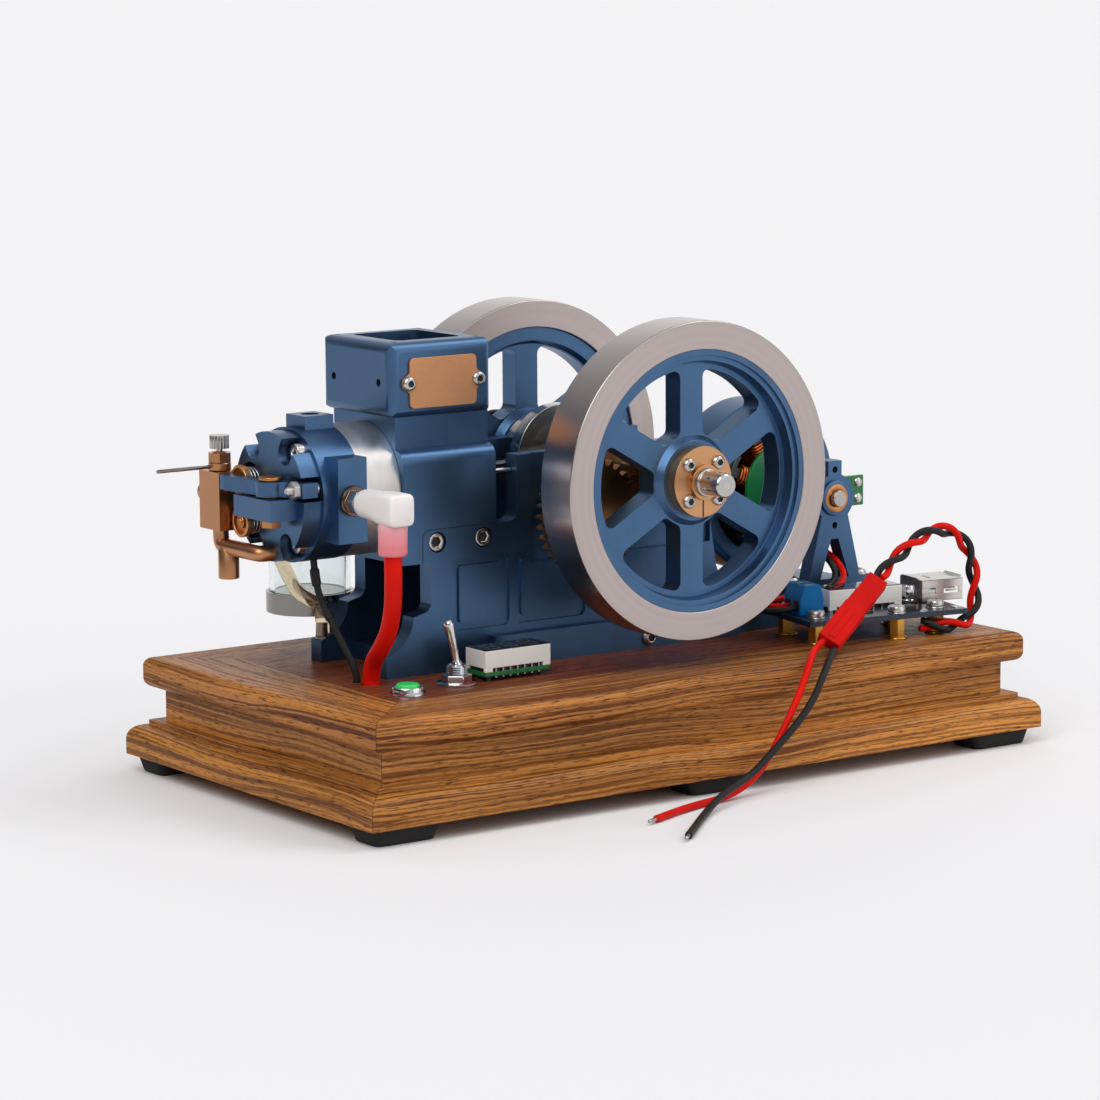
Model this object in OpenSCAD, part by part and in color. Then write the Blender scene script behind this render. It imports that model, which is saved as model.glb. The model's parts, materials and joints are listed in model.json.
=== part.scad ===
// Model hit and miss engine with a generator, standing on a moulded wooden plinth.
// X runs along the plinth from the cylinder head to the generator, Y to the back, Z up.

/* [Plinth] */
// Length of the plinth along X
plinth_l = 240; // [220:1:280]
// Depth of the plinth along Y
plinth_w = 133; // [124:1:160]
// Height of the rubber feet
foot_h = 5; // [3:0.5:8]
// Height of the lower moulding
base_h = 10.4; // [8:0.2:14]
// Height of the recessed core between the mouldings
core_h = 9.7; // [6:0.1:16]
// Inset of the core from the lower moulding
core_inset = 8.7; // [7:0.1:12]
// Height of the upper slab
slab_h = 8.9; // [7:0.1:14]
// Inset of the upper slab from the lower moulding
slab_inset = 4; // [3:0.1:6]
// Thickness of the inlaid board
inlay_t = 3; // [2:0.1:5]
// Width of the border round the inlaid board
border_w = 21; // [16:0.5:26]

/* [Engine frame] */
// Place of the crank axis along X
crank_x = 0.5; // [-4:0.1:4]
// Height of the crank axis above the plinth
crank_h = 54.4; // [53:0.1:58]
// Place of the cylinder axis along Y
cyl_y = 8; // [5:0.1:9]
// Width of the engine frame over its side plates
frame_w = 40; // [36:0.5:44]
// Thickness of each side plate
plate_t = 5.5; // [5:0.1:6.5]
// Thickness of the bed between the side plates
bed_t = 5; // [3:0.1:7]
// Thickness of the deck under the generator
deck_t = 9; // [7:0.1:11]
// Length of the deck under the generator
deck_l = 60; // [56:1:66]
// Outer radius of the main bearings
bearing_r = 12; // [10:0.1:13]
// Height of the bearing posts above the crank axis
post_rise = 6.1; // [3:0.1:8]

/* [Cylinder] */
// Radius of the cylinder bore
bore_r = 10; // [8:0.1:11]
// Outer radius of the cylinder barrel
barrel_r = 19; // [18:0.1:19.4]
// Drop of the cylinder axis below the crank axis
cyl_drop = 2; // [0:0.1:3]
// Length of the cylinder block along X
block_l = 31.7; // [30:0.1:34]
// Length of bare barrel between the block and the head
barrel_show = 13; // [10:0.1:16]
// Depth of the block below the cylinder axis
block_drop = 20.4; // [20:0.1:21]
// Width of the water hopper along Y
hopper_w = 36.4; // [33:0.1:38]
// Length of the water hopper along X
hopper_l = 34.6; // [33:0.1:36]
// Height of the water hopper
hopper_h = 21.4; // [16:0.1:28]
// Wall of the water hopper
hopper_wall = 6.2; // [4:0.1:7]
// Stroke of the piston
stroke = 20; // [16:0.2:21]
// Length of the connecting rod between its pins
rod_l = 58; // [57:0.1:59]

/* [Head and valves] */
// Radius of the cylinder head
head_r = 19.2; // [19:0.1:20.5]
// Length of the cylinder head along X
head_l = 10; // [9:0.1:13]
// Length of the head cover along X
cover_l = 9; // [8:0.1:11]
// Radius of the drum of the head cover
drum_r = 18.4; // [17.6:0.1:19]
// Radius of the valve stems
stem_r = 1.2; // [0.9:0.05:1.4]
// Radius of the valve springs at the middle of the wire
spring_r = 3.3; // [2.8:0.05:3.6]
// Radius of the spring wire
spring_wire_r = 0.35; // [0.25:0.01:0.4]
// Turns of each valve spring
spring_turns = 4; // [3:1:4]
// Radius of the push rod
pushrod_r = 0.7; // [0.5:0.05:0.9]

/* [Flywheels and gears] */
// Radius of the flywheels
wheel_r = 45.7; // [42:0.1:46]
// Width of the flywheels
wheel_t = 14.4; // [10:0.1:15]
// Inner radius of the steel rim
rim_in = 37.5; // [34:0.1:39]
// Number of spokes
spokes = 6; // [5:1:8]
// Width of a spoke
spoke_w = 8; // [5:0.1:9]
// Radius of the bronze hub flange
hub_r = 10.2; // [9.5:0.1:12]
// Radius of the crankshaft
shaft_r = 4; // [3:0.1:4.5]
// Length of the crankshaft in front of the front flywheel
shaft_stub = 12; // [9:0.1:13]
// Gap between the front side plate and the front flywheel
front_gap = 27.4; // [26:0.1:29]
// Gap between the rear side plate and the rear flywheel
rear_gap = 0.9; // [0.6:0.1:3]
// Gear tooth module
gear_m = 1; // [0.9:0.05:1.05]
// Teeth of the crank gear
crank_teeth = 16; // [16:1:18]
// Width of the gears
gear_t = 5; // [3:0.1:6]

/* [Generator] */
// Distance of the generator axis from the crank axis along X
gen_dx = 83.7; // [80:0.1:86]
// Height of the generator axis above the plinth
gen_h = 37.7; // [37:0.1:40]
// Radius of the generator bell
bell_r = 27; // [25:0.1:27.5]
// Radius of the stator over its tooth tips
stator_r = 20; // [18:0.1:20.8]
// Teeth of the stator
stator_teeth = 9; // [6:3:12]
// Radius of the generator shaft
gen_shaft_r = 2.5; // [2:0.1:3]
// Belt radius on the crank pulley
crank_pulley_r = 9; // [7:0.1:9.6]
// Belt radius on the generator pulley
gen_pulley_r = 6; // [5:0.1:9]
// Width of the drive belt
belt_w = 3; // [2:0.1:4]
// Thickness of the drive belt
belt_t = 2; // [1:0.1:2.5]

/* [Carburettor and fuel] */
// Width of the carburettor body along Y
carb_w = 11; // [9:0.1:12]
// Length of the carburettor body along X
carb_l = 7.2; // [6:0.1:9]
// Height of the carburettor body
carb_h = 16.6; // [14:0.1:18]
// Length of the choke lever
choke_l = 20.5; // [12:0.5:26]
// Outer radius of the glass fuel cup
cup_r = 12; // [10:0.1:13]
// Height of the glass fuel cup
cup_h = 23; // [16:0.5:30]
// Wall of the glass fuel cup
cup_wall = 1.5; // [1:0.1:2.5]

/* [Electrics] */
// Length of the voltmeter case
meter_l = 22.5; // [20:0.5:26]
// Depth of the voltmeter case
meter_w = 10; // [8:0.5:12]
// Height of the voltmeter case
meter_h = 6.4; // [5:0.1:9]
// Radius of the push button's bezel
button_r = 5.2; // [4.5:0.1:7]
// Travel of the push button
button_travel = 1.2; // [0.6:0.1:1.6]
// Length of the toggle lever
toggle_l = 12; // [8:0.5:16]
// Lean of the toggle lever
toggle_lean = 12; // [8:1:18]
// Length of the charger board
board_l = 54; // [50:1:60]
// Width of the charger board
board_w = 28; // [27:0.5:30]
// Height of the brass standoffs
standoff_h = 6; // [4:0.1:9]

/* [Leads] */
// Radius of the output leads
lead_r = 1.05; // [0.8:0.05:1.2]
// Radius of the ignition lead
spark_lead_r = 2.5; // [2:0.1:2.8]
// Radius of the fuel hose
hose_r = 2; // [1.6:0.1:2.2]

/* [Hidden] */
$fn = 64;
// Running clearance on the radius of shafts and pins
run = 0.05;
// Gap kept between pieces that pass each other
gap = 0.3;

// Heights of the plinth's layers
base_top = foot_h + base_h;
core_top = base_top + core_h;
top_z = core_top + slab_h;
inlay_x = plinth_l / 2 - slab_inset - border_w;
inlay_y = plinth_w / 2 - slab_inset - border_w;
// Roundings and step of the mouldings
nose_r = 2.6;
ovolo_r = 4.4;
step_h = 1.5;
step_in = 5;

// Main axes
crank_z = top_z + crank_h;
cyl_z = crank_z - cyl_drop;
frame_y0 = cyl_y - frame_w / 2;
frame_y1 = cyl_y + frame_w / 2;
post_z = crank_z + post_rise;
bed_z = top_z + bed_t;
deck_z = top_z + deck_t;

// Stations along X, from the block to the front of the head cover
block_x1 = crank_x - 41.8;
block_x0 = block_x1 - block_l;
head_x1 = block_x0 - barrel_show;
head_x0 = head_x1 - head_l;
cover_x0 = head_x0 - cover_l;
flange_x0 = head_x0 - 3;

// Side plate outline
plate_x0 = block_x0 - 6.5;
plate_x1 = crank_x + 44.5;
plate_top = cyl_z - 10.9;
rabbet_x = block_x0 + 6.3;
post_x0 = crank_x - 34.5;
post_x1 = crank_x + 34.5;
notch_x = block_x0 + 8.9;
skirt_z = top_z + 9;
skirt_t = 3;
relief_x = post_x0 + 4.8;
relief_t = 1.5;
screw_z = cyl_z - 14.7;
screw_xs = [rabbet_x + 5, rabbet_x + 21];
screw_r = 1.5;
screw_l = 4.2;
screw_sink = 3.2;
screw_sink_r = 3;
bearing_t = 7;
bush_l = 8;
panel_x0 = notch_x + 7.5;
panel_z0 = top_z + 11.5;
panel_z1 = screw_z - 5.4;
panel_t = 0.8;

// Cylinder block profile, and the part of the barrel inside it
liner_r = barrel_r - 3.5;
neck_y = 16;
shoulder_z = cyl_z + 8.1;
neck_z = shoulder_z + 4.6;
hopper_z0 = cyl_z + 21.2;
hopper_z1 = hopper_z0 + hopper_h;
hopper_x1 = block_x1 + 0.3;
hopper_x0 = hopper_x1 - hopper_l;
hopper_round = 3;
hopper_floor = hopper_z0 + 1;
lid_hole_in = 3.4;
lid_hole_r = 0.8;
end_hole_r = 1.1;
end_hole_y = 11.7;
// Badge on the front of the hopper
badge_t = 0.8;
badge_w = 21.8;
badge_h = 14.3;
badge_round = 1.5;
ear_w = 5;
ear_x = 14.4;
ear_tip = 1.6;
badge_screw_r = 1;
badge_x = (hopper_x0 + hopper_x1) / 2;
badge_y = cyl_y - hopper_w / 2;
badge_z = hopper_z0 + 9.8;
badge_screws = [badge_x - badge_w / 2 - 0.9, badge_x + badge_w / 2 + 0.9];

// Valve gear
pushrod_y = cyl_y - 16.6;
rocker_z = cyl_z + 3.6;
rocker_t = 4.2;
exhaust_y = cyl_y + 10;
exhaust_z = rocker_z + 0.2;
intake_y = cyl_y + 9.7;
intake_z = cyl_z - 8;
valve_r = 4;
valve_lift = 2;
well_r = 5;
well_x = cover_x0 + 4;
retainer_t = 1.8;
spring_x0 = cover_x0 - 2.2;
stem_tip = spring_x0 - retainer_t - 0.4;
pocket_x = head_x1 - 5.2;
pivot_x = cover_x0 - 4.5;
pivot_y = cyl_y - 8;
pivot_r = 1.5;
rocker_boss_r = 4.2;
rocker_arm_w = 4.4;
adjuster_r = 1.1;
adjuster_nut_r = 2.7;
retainer_r = 4.4;
wrist_r = 2;
pedestal = [[cover_x0 - 9, cover_x0], [cyl_y - 15, cyl_y + 4.5], [cyl_z - 5, rocker_z - rocker_t / 2 - 0.5]];
rocker_end_x = cover_x0 + 1.4;
cover_screws = [for (p = [[-8.5, -13], [-8.5, 13], [8.5, 13], [7.2, -14.6]]) [cyl_y, cyl_z] + p];
cover_screw_r = 1.2;
cover_screw_l = 8;
scallop_r = 3.4;
boss_z = cyl_z + 22.4;
boss_half = 5;
boss_hole_r = 2.6;
pad_half = 12;
plug_thread_r = 2.5;
pad_y = cyl_y - 22;

// Crank train
pin_throw = stroke / 2;
pin_r = 3;
web_r = 16;
web_t = 4.5;
web_gap = 6;
rod_w = 8;
rod_eye_r = 4.2;
rod_end_r = 6;
rest_lift = asin(cyl_drop / rod_l);
wrist_x = crank_x + pin_throw - rod_l * cos(rest_lift);
piston_front = 13;
piston_back = 8;
piston_bore = bore_r - 2.2;

// Gears
cam_teeth = 2 * crank_teeth;
gear_distance = gear_m * (crank_teeth + cam_teeth) / 2;
gear_turn = 206;
cam_x = crank_x + gear_distance * cos(gear_turn);
cam_z = crank_z + gear_distance * sin(gear_turn);
gear_y0 = frame_y0 - 19.5;
gear_y1 = gear_y0 + gear_t;
cam_shaft_r = 2.5;

// Flywheel faces and the ends of the crankshaft
front_wheel_y = frame_y0 - front_gap;
rear_wheel_y = frame_y1 + rear_gap;
front_face = front_wheel_y - wheel_t;
rear_face = rear_wheel_y + wheel_t;
hub_t = 3.5;
hub_rise = 2.6;
shaft_front = front_face - shaft_stub;
shaft_rear = rear_face + 9.4;
stub_step = 0.5;
stub_r = shaft_r - stub_step;
stub_chamfer = 0.6;
stub_y1 = front_face - hub_rise - 1;
hub_bolt_r = 7.35;
hub_nose_r = 5.1;

// Generator
gen_x = crank_x + gen_dx;
gen_z = top_z + gen_h;
stand_y0 = frame_y0;
stand_t = 5;
stand_eye_r = 7.4;
stand_ear = 5.2;
stand_rise = 11.4;
stand_neck = 4.8;
stand_leg = 11;
stand_foot = [-17.8, 14.2];
stand_foot_h = 4;
stand_pin_r = 1;
slot_top = 1.4;
slot_foot = 5.6;
slot_drop = 12.6;
stand_screw_r = 1.5;
stand_screws = [gen_x - 15.3, gen_x + 11.2];
sleeve_r = 6.5;
bush_r = 4.5;
stator_y0 = 15;
stator_y1 = 30;
tooth_w = 3.2;
stator_hub_r = 9.5;
shoe_t = 1.6;
shoe_gap = 2.4;
ring_board_r = 15;
tab = [10, 31.4];
tab_z = [-7.5, 2];
air_gap = 1.2;
bell_round = 2;
bell_back = 4;
bell_y0 = 21;
bell_y1 = 37;
board_y0 = 12;
board_y1 = 13.5;
belt_y = rear_face + 4.7;
pulley_t = 6;
belt_d = norm([gen_dx, gen_z - crank_z]);
belt_turn = atan2(gen_z - crank_z, gen_dx);
belt_wrap = acos((crank_pulley_r - gen_pulley_r) / belt_d);
coil_r = 0.55;
coil_turns = 4;
coil_pitch = 1.6;
coil_clear = 0.45;
coil_cut = 0.9;

// Carburettor
carb_x = cover_x0 - carb_l / 2 - 0.4;
carb_y = cyl_y + 20.2;
carb_z0 = cyl_z - 11;
carb_z1 = carb_z0 + carb_h;
collar_t = 2.4;
gland_t = 2.8;
inlet_z = cyl_z - 15.9;
inlet_y = cyl_y - 1;
inlet_r = 2.3;
air_y = carb_y - 4;
spigot_y = carb_y + 1.5;
spigot_z = cyl_z - 6;
spigot_r = 1.4;
spigot_x = carb_x + carb_l / 2 + 5;
tube_r = 3;
tube_wall = 0.7;
air_l = 9;
gland_r = 3.6;
neck_r = 1.9;
cover_boss_r = 3.2;
needle_r = 0.9;
knob_r = 2.5;
knob_h = 3.8;
collar_r = 3.3;
lever_r = 0.5;

// Fuel cup behind the rear side plate
cup_x = block_x0 + 2.4;
cup_y = frame_y1 + cup_r + 2.5;
cup_z = top_z + 12;
cap_r = cup_r + 1;
cap_h = 6;
fitting_x = plate_x0 + 2.2;
fitting_y = frame_y1 - plate_t / 2;
fitting_z = top_z + 6.2;
cup_seat = 2;
lid_t = 3;
lid_knob_r = 3.2;
bracket_half = 5;
barb_r = 1.2;
barb_l = 5;
barb_seat_r = 2.2;

// Ignition
plug_x = head_x1 - 5.2;
plug_z = cyl_z;
plug_seat_r = 4;
plug_hex_r = 3.6;
plug_post_r = 1.8;
plug_post = 16;
boot_y0 = pad_y - 29;
boot_y1 = pad_y - 4;
boot_r = 5.4;
boot_leg_y = pad_y - 20;
boot_leg_r = 4.2;
boot_foot_z = plug_z - 17;
spark_hole = [-inlay_x + 8.8, boot_leg_y + 19.6];
// The sensor lead goes down between the side plate and the edge of the inlaid board
sensor_share = 0.548;
sensor_hole = [plate_x0 - sensor_share * (plate_x0 + inlay_x), cyl_y - 17.6];

// Things on the plinth
bezel_t = 1.2;
bezel_step = 0.8;
button_at = [-inlay_x + 8.8, -inlay_y + 8.5];
toggle_at = [-inlay_x + 28.1, -inlay_y + 12.7];
toggle_pivot_z = top_z + 7;
toggle_plate = 12;
toggle_plate_t = 0.8;
toggle_nut_r = 4.4;
toggle_nut_h = 2.2;
toggle_bush_r = 3;
toggle_bush_h = 5.6;
toggle_ball_r = 1.6;
toggle_tip_r = 1.5;
meter_at = [-inlay_x + 35.4, -inlay_y + 9];
meter_leg = 1.4;
meter_leg_r = 0.7;
meter_board_t = 1.4;
board_at = [inlay_x - 18.4, -inlay_y + 7.2];
board_turn = -10;
board_z = top_z + standoff_h;
board_t = 1.6;
standoff_r = 2.6;
board_screw_r = 1.3;
board_head_h = 2;
terminal = [8, 10, 9];
display = [25, 9.6, 6.6];
socket = [14.4, 13, 6.8];
socket_wall = 0.6;
tongue = [14, 11, 1.8];
standoffs = [[-21, -9], [4.5, -12.5], [20, -9], [-21, 9], [15.6, 9.6]];

// Output leads: centre line of the twisted pair from the connector to the charger board
lead_shift = [board_at.x - 76.6, board_at.y + 34.3, 0];
pair_bends = [[66.5, -53.9, 54.1], [70, -53, 56.5], [74, -52.5, 59], [78.5, -52, 61.5], [83, -51.5, 63.6],
  [88, -51, 65.2], [93, -50.5, 65.6], [98, -50, 64.4], [102.5, -49.8, 61.4], [105.6, -49.6, 57],
  [107, -49.6, 52], [107.4, -49.8, 47], [107, -50.4, 42.4], [105, -51.2, 38.6], [101, -52, 36.8],
  [96, -52.2, 36.6], [91, -51.2, 36.8], [87, -49, 37.4]];
pair_route = [for (i = [0:2 * len(pair_bends) - 2]) lead_shift + between(pair_bends, i)];
pair_half = 1.35;
pair_step = 50;
// Lower leads from the connector to their bare ends on the floor
red_bends = [[43.2, -57.2, 38.6], [39.5, -58.8, 37.4], [35.5, -61.5, 36.4], [31.5, -64.6, 34],
  [28, -66.8, 30.4], [25, -68, 26.4], [22, -68.8, 22.4], [19, -69.4, 18.4], [16, -69.8, 14.4],
  [12.5, -70.4, 10.4], [8, -71.2, 6.6], [2.5, -72.2, 3.6], [-4, -73.4, 1.8], [-11, -74.8, 1.2],
  [-19, -76.8, 1.2], [-27, -79.4, 1.2], [-35, -82.6, 1.2], [-42, -85.6, 1.2]];
black_bends = [[45.4, -59.2, 35.9], [41.6, -62.6, 35.8], [37.4, -66, 33.8], [33.4, -68.4, 30.6],
  [29.6, -70.2, 26.6], [25.6, -71.4, 22.8], [21.4, -72.2, 19.4], [16.8, -72.8, 16], [12.2, -73.2, 12.8],
  [7.6, -73.8, 9.8], [2.6, -74.8, 7.2], [-3.4, -76.4, 5.4], [-9.6, -78.8, 4.2], [-16, -82, 2.8],
  [-22.6, -86.4, 1.6], [-29, -91.8, 1.2], [-35.2, -97.6, 1.2], [-41, -103, 1.2], [-46.4, -108, 1.2]];
red_route = [for (p = red_bends) p + lead_shift];
black_route = [for (p = black_bends) p + lead_shift];
// Leads that the engine holds at both ends
function toward(f, hole, from, z) = [from.x + (hole.x - from.x) * f, from.y + (hole.y - from.y) * f, z];
spark_top = [plug_x, boot_leg_y];
spark_route = [[plug_x, boot_leg_y, boot_foot_z + 4], [plug_x, boot_leg_y, boot_foot_z - 4],
  toward(0.05, spark_hole, spark_top, boot_foot_z - 11),
  toward(0.24, spark_hole, spark_top, boot_foot_z - 18),
  toward(0.55, spark_hole, spark_top, boot_foot_z - 23.6),
  toward(0.87, spark_hole, spark_top, boot_foot_z - 28.4),
  toward(1, spark_hole, spark_top, top_z + 2), toward(1, spark_hole, spark_top, top_z - 2)];
sensor_top = [head_x0 + 1.5, cyl_y - 6];
sensor_route = [[sensor_top.x, sensor_top.y, cyl_z - 18.1], toward(0.05, sensor_hole, sensor_top, cyl_z - 24),
  toward(0.18, sensor_hole, sensor_top, cyl_z - 30), toward(0.43, sensor_hole, sensor_top, cyl_z - 36),
  toward(0.69, sensor_hole, sensor_top, cyl_z - 42), toward(0.91, sensor_hole, sensor_top, top_z + 5),
  toward(1, sensor_hole, sensor_top, top_z + 1), toward(1, sensor_hole, sensor_top, top_z - 2)];
hose_route = [[carb_x + carb_l / 2 + 0.2, spigot_y, spigot_z], [spigot_x + 1, spigot_y, spigot_z],
  [spigot_x + 5.4, spigot_y + 0.2, spigot_z - 2.6], [spigot_x + 8.6, spigot_y + 0.2, spigot_z - 8],
  [spigot_x + 11, spigot_y - 0.4, spigot_z - 14], [spigot_x + 13.4, spigot_y - 1, spigot_z - 20],
  [spigot_x + 16.6, spigot_y - 2, spigot_z - 26], [fitting_x - 1.2, fitting_y + 0.5, fitting_z + 10],
  [fitting_x, fitting_y, fitting_z + 5.4], [fitting_x, fitting_y, fitting_z + 1]];

// The connector lies along the line between its two ends
plug_low = lead_shift + [43.8, -57.9, 37.6];
plug_high = lead_shift + [66, -53.9, 53.4];
plug_w = 7;
plug_t = 5;

// The origin is under the middle of the whole object, from the tip of the choke lever to the plinth's end
reach_x0 = carb_x - choke_l;
shift_x = -(reach_x0 + plinth_l / 2) / 2;

// Bars along the axes, boxes between two corners and outlines pushed along X or Y
module bar_x(r, x0, x1, y, z) translate([x0, y, z]) rotate([0, 90, 0]) cylinder(r = r, h = x1 - x0);
module bar_y(r, y0, y1, x, z) translate([x, y0, z]) rotate([-90, 0, 0]) cylinder(r = r, h = y1 - y0);
module bar_z(r, z0, z1, x, y) translate([x, y, z0]) cylinder(r = r, h = z1 - z0);
module box(x, y, z) translate([x[0], y[0], z[0]]) cube([x[1] - x[0], y[1] - y[0], z[1] - z[0]]);
module push_y(y0, y1) translate([0, y1, 0]) rotate([90, 0, 0]) linear_extrude(y1 - y0) children();
module push_x(x0, x1) translate([x0, 0, 0]) rotate([90, 0, 90]) linear_extrude(x1 - x0) children();
module round_box(w, d, r) {
  square([w - 2 * r, d], center = true);
  square([w, d - 2 * r], center = true);
  for (x = [-1, 1], y = [-1, 1])
    translate([x * (w / 2 - r), y * (d / 2 - r)]) circle(r);
}
// A box with all its edges rounded
module pillow(l, w, h, r) intersection() {
  linear_extrude(h, center = true) round_box(l, w, r);
  rotate([90, 0, 0]) linear_extrude(w, center = true) round_box(l, h, r);
  rotate([90, 0, 90]) linear_extrude(l, center = true) round_box(w, h, r);
}
function arc(c, r, a0, a1, n) = [for (i = [0:n])
  let (a = a0 + (a1 - a0) * i / n) c + r * [cos(a), sin(a)]];

// A round bar between two points
module along(a, b, r) translate(a) rotate([0, acos((b - a).z / norm(b - a)), atan2((b - a).y, (b - a).x)])
  cylinder(r = r, h = norm(b - a));

// Point i of a route with a point added halfway along each span, on a smooth curve
function between(p, i) = let (k = floor(i / 2), n = len(p) - 1) i % 2 == 0 ? p[k]
  : (9 * (p[k] + p[k + 1]) - p[max(k - 1, 0)] - p[min(k + 2, n)]) / 16;
// A tube swept along points with a frame that turns as little as it can
function unit(v) = v / norm(v);
function heading(p, i) = unit(p[min(i + 1, len(p) - 1)] - p[max(i - 1, 0)]);
function side_of(t) = unit(abs(t.z) < 0.9 ? cross([0, 0, 1], t) : cross([1, 0, 0], t));
function across(u, t) = unit(u - (u * t) * t);
function sides_along(p) = [for (i = 0, u = side_of(heading(p, 0)); i < len(p);
  i = i + 1, u = across(u, heading(p, min(i, len(p) - 1)))) u];
module tube(p, r, n) {
  us = sides_along(p);
  rings = [for (i = [0:len(p) - 1], k = [0:n - 1])
    let (t = heading(p, i), v = cross(t, us[i]))
    p[i] + r * (cos(360 * k / n) * us[i] + sin(360 * k / n) * v)];
  last = n * (len(p) - 1);
  walls = [for (i = [0:len(p) - 2], k = [0:n - 1])
    let (a = i * n + k, b = i * n + (k + 1) % n)
    each [[a, a + n, b], [b, a + n, b + n]]];
  caps = [for (k = [1:n - 2]) each [[0, k, k + 1], [last, last + k + 1, last + k]]];
  polyhedron(points = rings, faces = concat(walls, caps));
}
// One lead of the twisted pair, a steady turn round the pair's centre line
function pair_points(phase) = let (us = sides_along(pair_route)) [for (i = [0:len(pair_route) - 1])
  let (t = heading(pair_route, i), a = phase + pair_step * i)
  pair_route[i] + pair_half * (cos(a) * us[i] + sin(a) * cross(t, us[i]))];
// A spring along X
function helix(x0, x1, r, turns, y, z) = let (n = 8 * turns) [for (i = [0:n])
  [x0 + (x1 - x0) * i / n, y + r * cos(45 * i), z + r * sin(45 * i)]];
// Least clear distance of a wound tube to itself, one turn or more apart
function self_gap(p, r, per_turn) = min([for (i = [0:len(p) - 1], j = [0:len(p) - 1])
  if (j >= i + per_turn - 2) norm(p[i] - p[j])]) - 2 * r;

// Involute gear outline, with teeth thinned by a little backlash
backlash = 0.07;
function inv_point(rb, a) = rb * [cos(a) + a * PI / 180 * sin(a), sin(a) - a * PI / 180 * cos(a)];
function spin(p, a) = [p.x * cos(a) - p.y * sin(a), p.x * sin(a) + p.y * cos(a)];
function inv_angle(rb, r) = r <= rb ? 0 : sqrt(pow(r / rb, 2) - 1) * 180 / PI;
function flank(teeth) = let (
  rp = gear_m * teeth / 2,
  rb = rp * cos(20),
  ra = rp + 0.9 * gear_m,
  rr = rp - 1.2 * gear_m,
  ap = inv_angle(rb, rp),
  half = 90 / teeth - backlash / rp * 180 / PI + ap - atan(ap * PI / 180),
  top = inv_angle(rb, ra))
  concat([spin([rr, 0], -half)], [for (i = [0:4]) spin(inv_point(rb, top * i / 4), -half)]);
module gear(teeth, bore) {
  f = flank(teeth);
  tooth = concat(f, [for (i = [len(f) - 1:-1:0]) [f[i].x, -f[i].y]]);
  difference() {
    union() {
      circle(gear_m * teeth / 2 - 1.15 * gear_m);
      for (k = [0:teeth - 1])
        rotate(360 * k / teeth) polygon(concat(tooth, [[1, 0]]));
    }
    if (bore > 0) circle(bore);
  }
}
// Screws along +Z from the seat: socket head and button head
module socket_screw(r, l) {
  difference() {
    cylinder(r = 1.8 * r, h = 1.9 * r);
    translate([0, 0, 0.9 * r]) cylinder(r = 0.95 * r, h = 1.1 * r, $fn = 6);
  }
  translate([0, 0, -l]) cylinder(r = r, h = l);
}
module button_screw(r, l) {
  difference() {
    intersection() {
      cylinder(r = 1.8 * r, h = 1.1 * r);
      translate([0, 0, -1.1 * r]) sphere(r = 2.2 * r);
    }
    translate([0, 0, 0.4 * r]) cylinder(r = 0.7 * r, h = r, $fn = 6);
  }
  translate([0, 0, -l]) cylinder(r = r, h = l);
}

// A moulding run round a rectangle with mitred corners: two crossed bars of one profile
module mitred(l, w) {
  intersection() {
    push_y(-w, w) children(0);
    push_x(-l, l) children(1);
  }
}
// Half-round nosing on both edges
module nosing(w) translate([0, slab_h / 2]) round_box(w, slab_h, nose_r);
// Short upright edge, quarter round and a small step
module ovolo(w) {
  h = base_h - step_h;
  translate([-w / 2, 0]) square([w, h - ovolo_r]);
  translate([-w / 2 + ovolo_r, 0]) square([w - 2 * ovolo_r, h]);
  for (x = [-1, 1]) translate([x * (w / 2 - ovolo_r), h - ovolo_r]) circle(ovolo_r);
  translate([-w / 2 + step_in, 0]) square([w - 2 * step_in, base_h]);
}
module plinth_base() color("sienna") difference() {
  union() {
    translate([0, 0, foot_h]) mitred(plinth_l, plinth_w) {
      ovolo(plinth_l);
      ovolo(plinth_w);
    }
    translate([0, 0, base_top]) linear_extrude(core_h)
      square([plinth_l - 2 * core_inset, plinth_w - 2 * core_inset], center = true);
  }
  wire_holes(base_top - 1, core_top + 1);
}
module wire_holes(z0, z1) {
  bar_z(spark_lead_r + gap, z0, z1, spark_hole.x, spark_hole.y);
  bar_z(lead_r + gap, z0, z1, sensor_hole.x, sensor_hole.y);
}
module plinth_top() color("peru") difference() {
  translate([0, 0, core_top]) mitred(plinth_l, plinth_w) {
    nosing(plinth_l - 2 * slab_inset);
    nosing(plinth_w - 2 * slab_inset);
  }
  box([-inlay_x, inlay_x], [-inlay_y, inlay_y], [top_z - inlay_t, top_z + 1]);
  wire_holes(core_top - 1, top_z + 1);
}
module plinth_inlay() color("saddlebrown") difference() {
  box([-inlay_x, inlay_x], [-inlay_y, inlay_y], [top_z - inlay_t, top_z]);
  wire_holes(top_z - inlay_t - 1, top_z + 1);
}
module rubber_feet() color([0.08, 0.08, 0.08]) {
  foot = [18, 10];
  inset = [13, 9];
  for (x = [-1, 1], y = [-1, 1])
    translate([x * (plinth_l / 2 - inset.x), y * (plinth_w / 2 - inset.y), 0])
      linear_extrude(foot_h) round_box(foot.x, foot.y, 2);
  for (y = [-1, 1])
    translate([0, y * (plinth_w / 2 - inset.y), 0]) linear_extrude(foot_h) round_box(foot.x, foot.y, 2);
}

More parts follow.
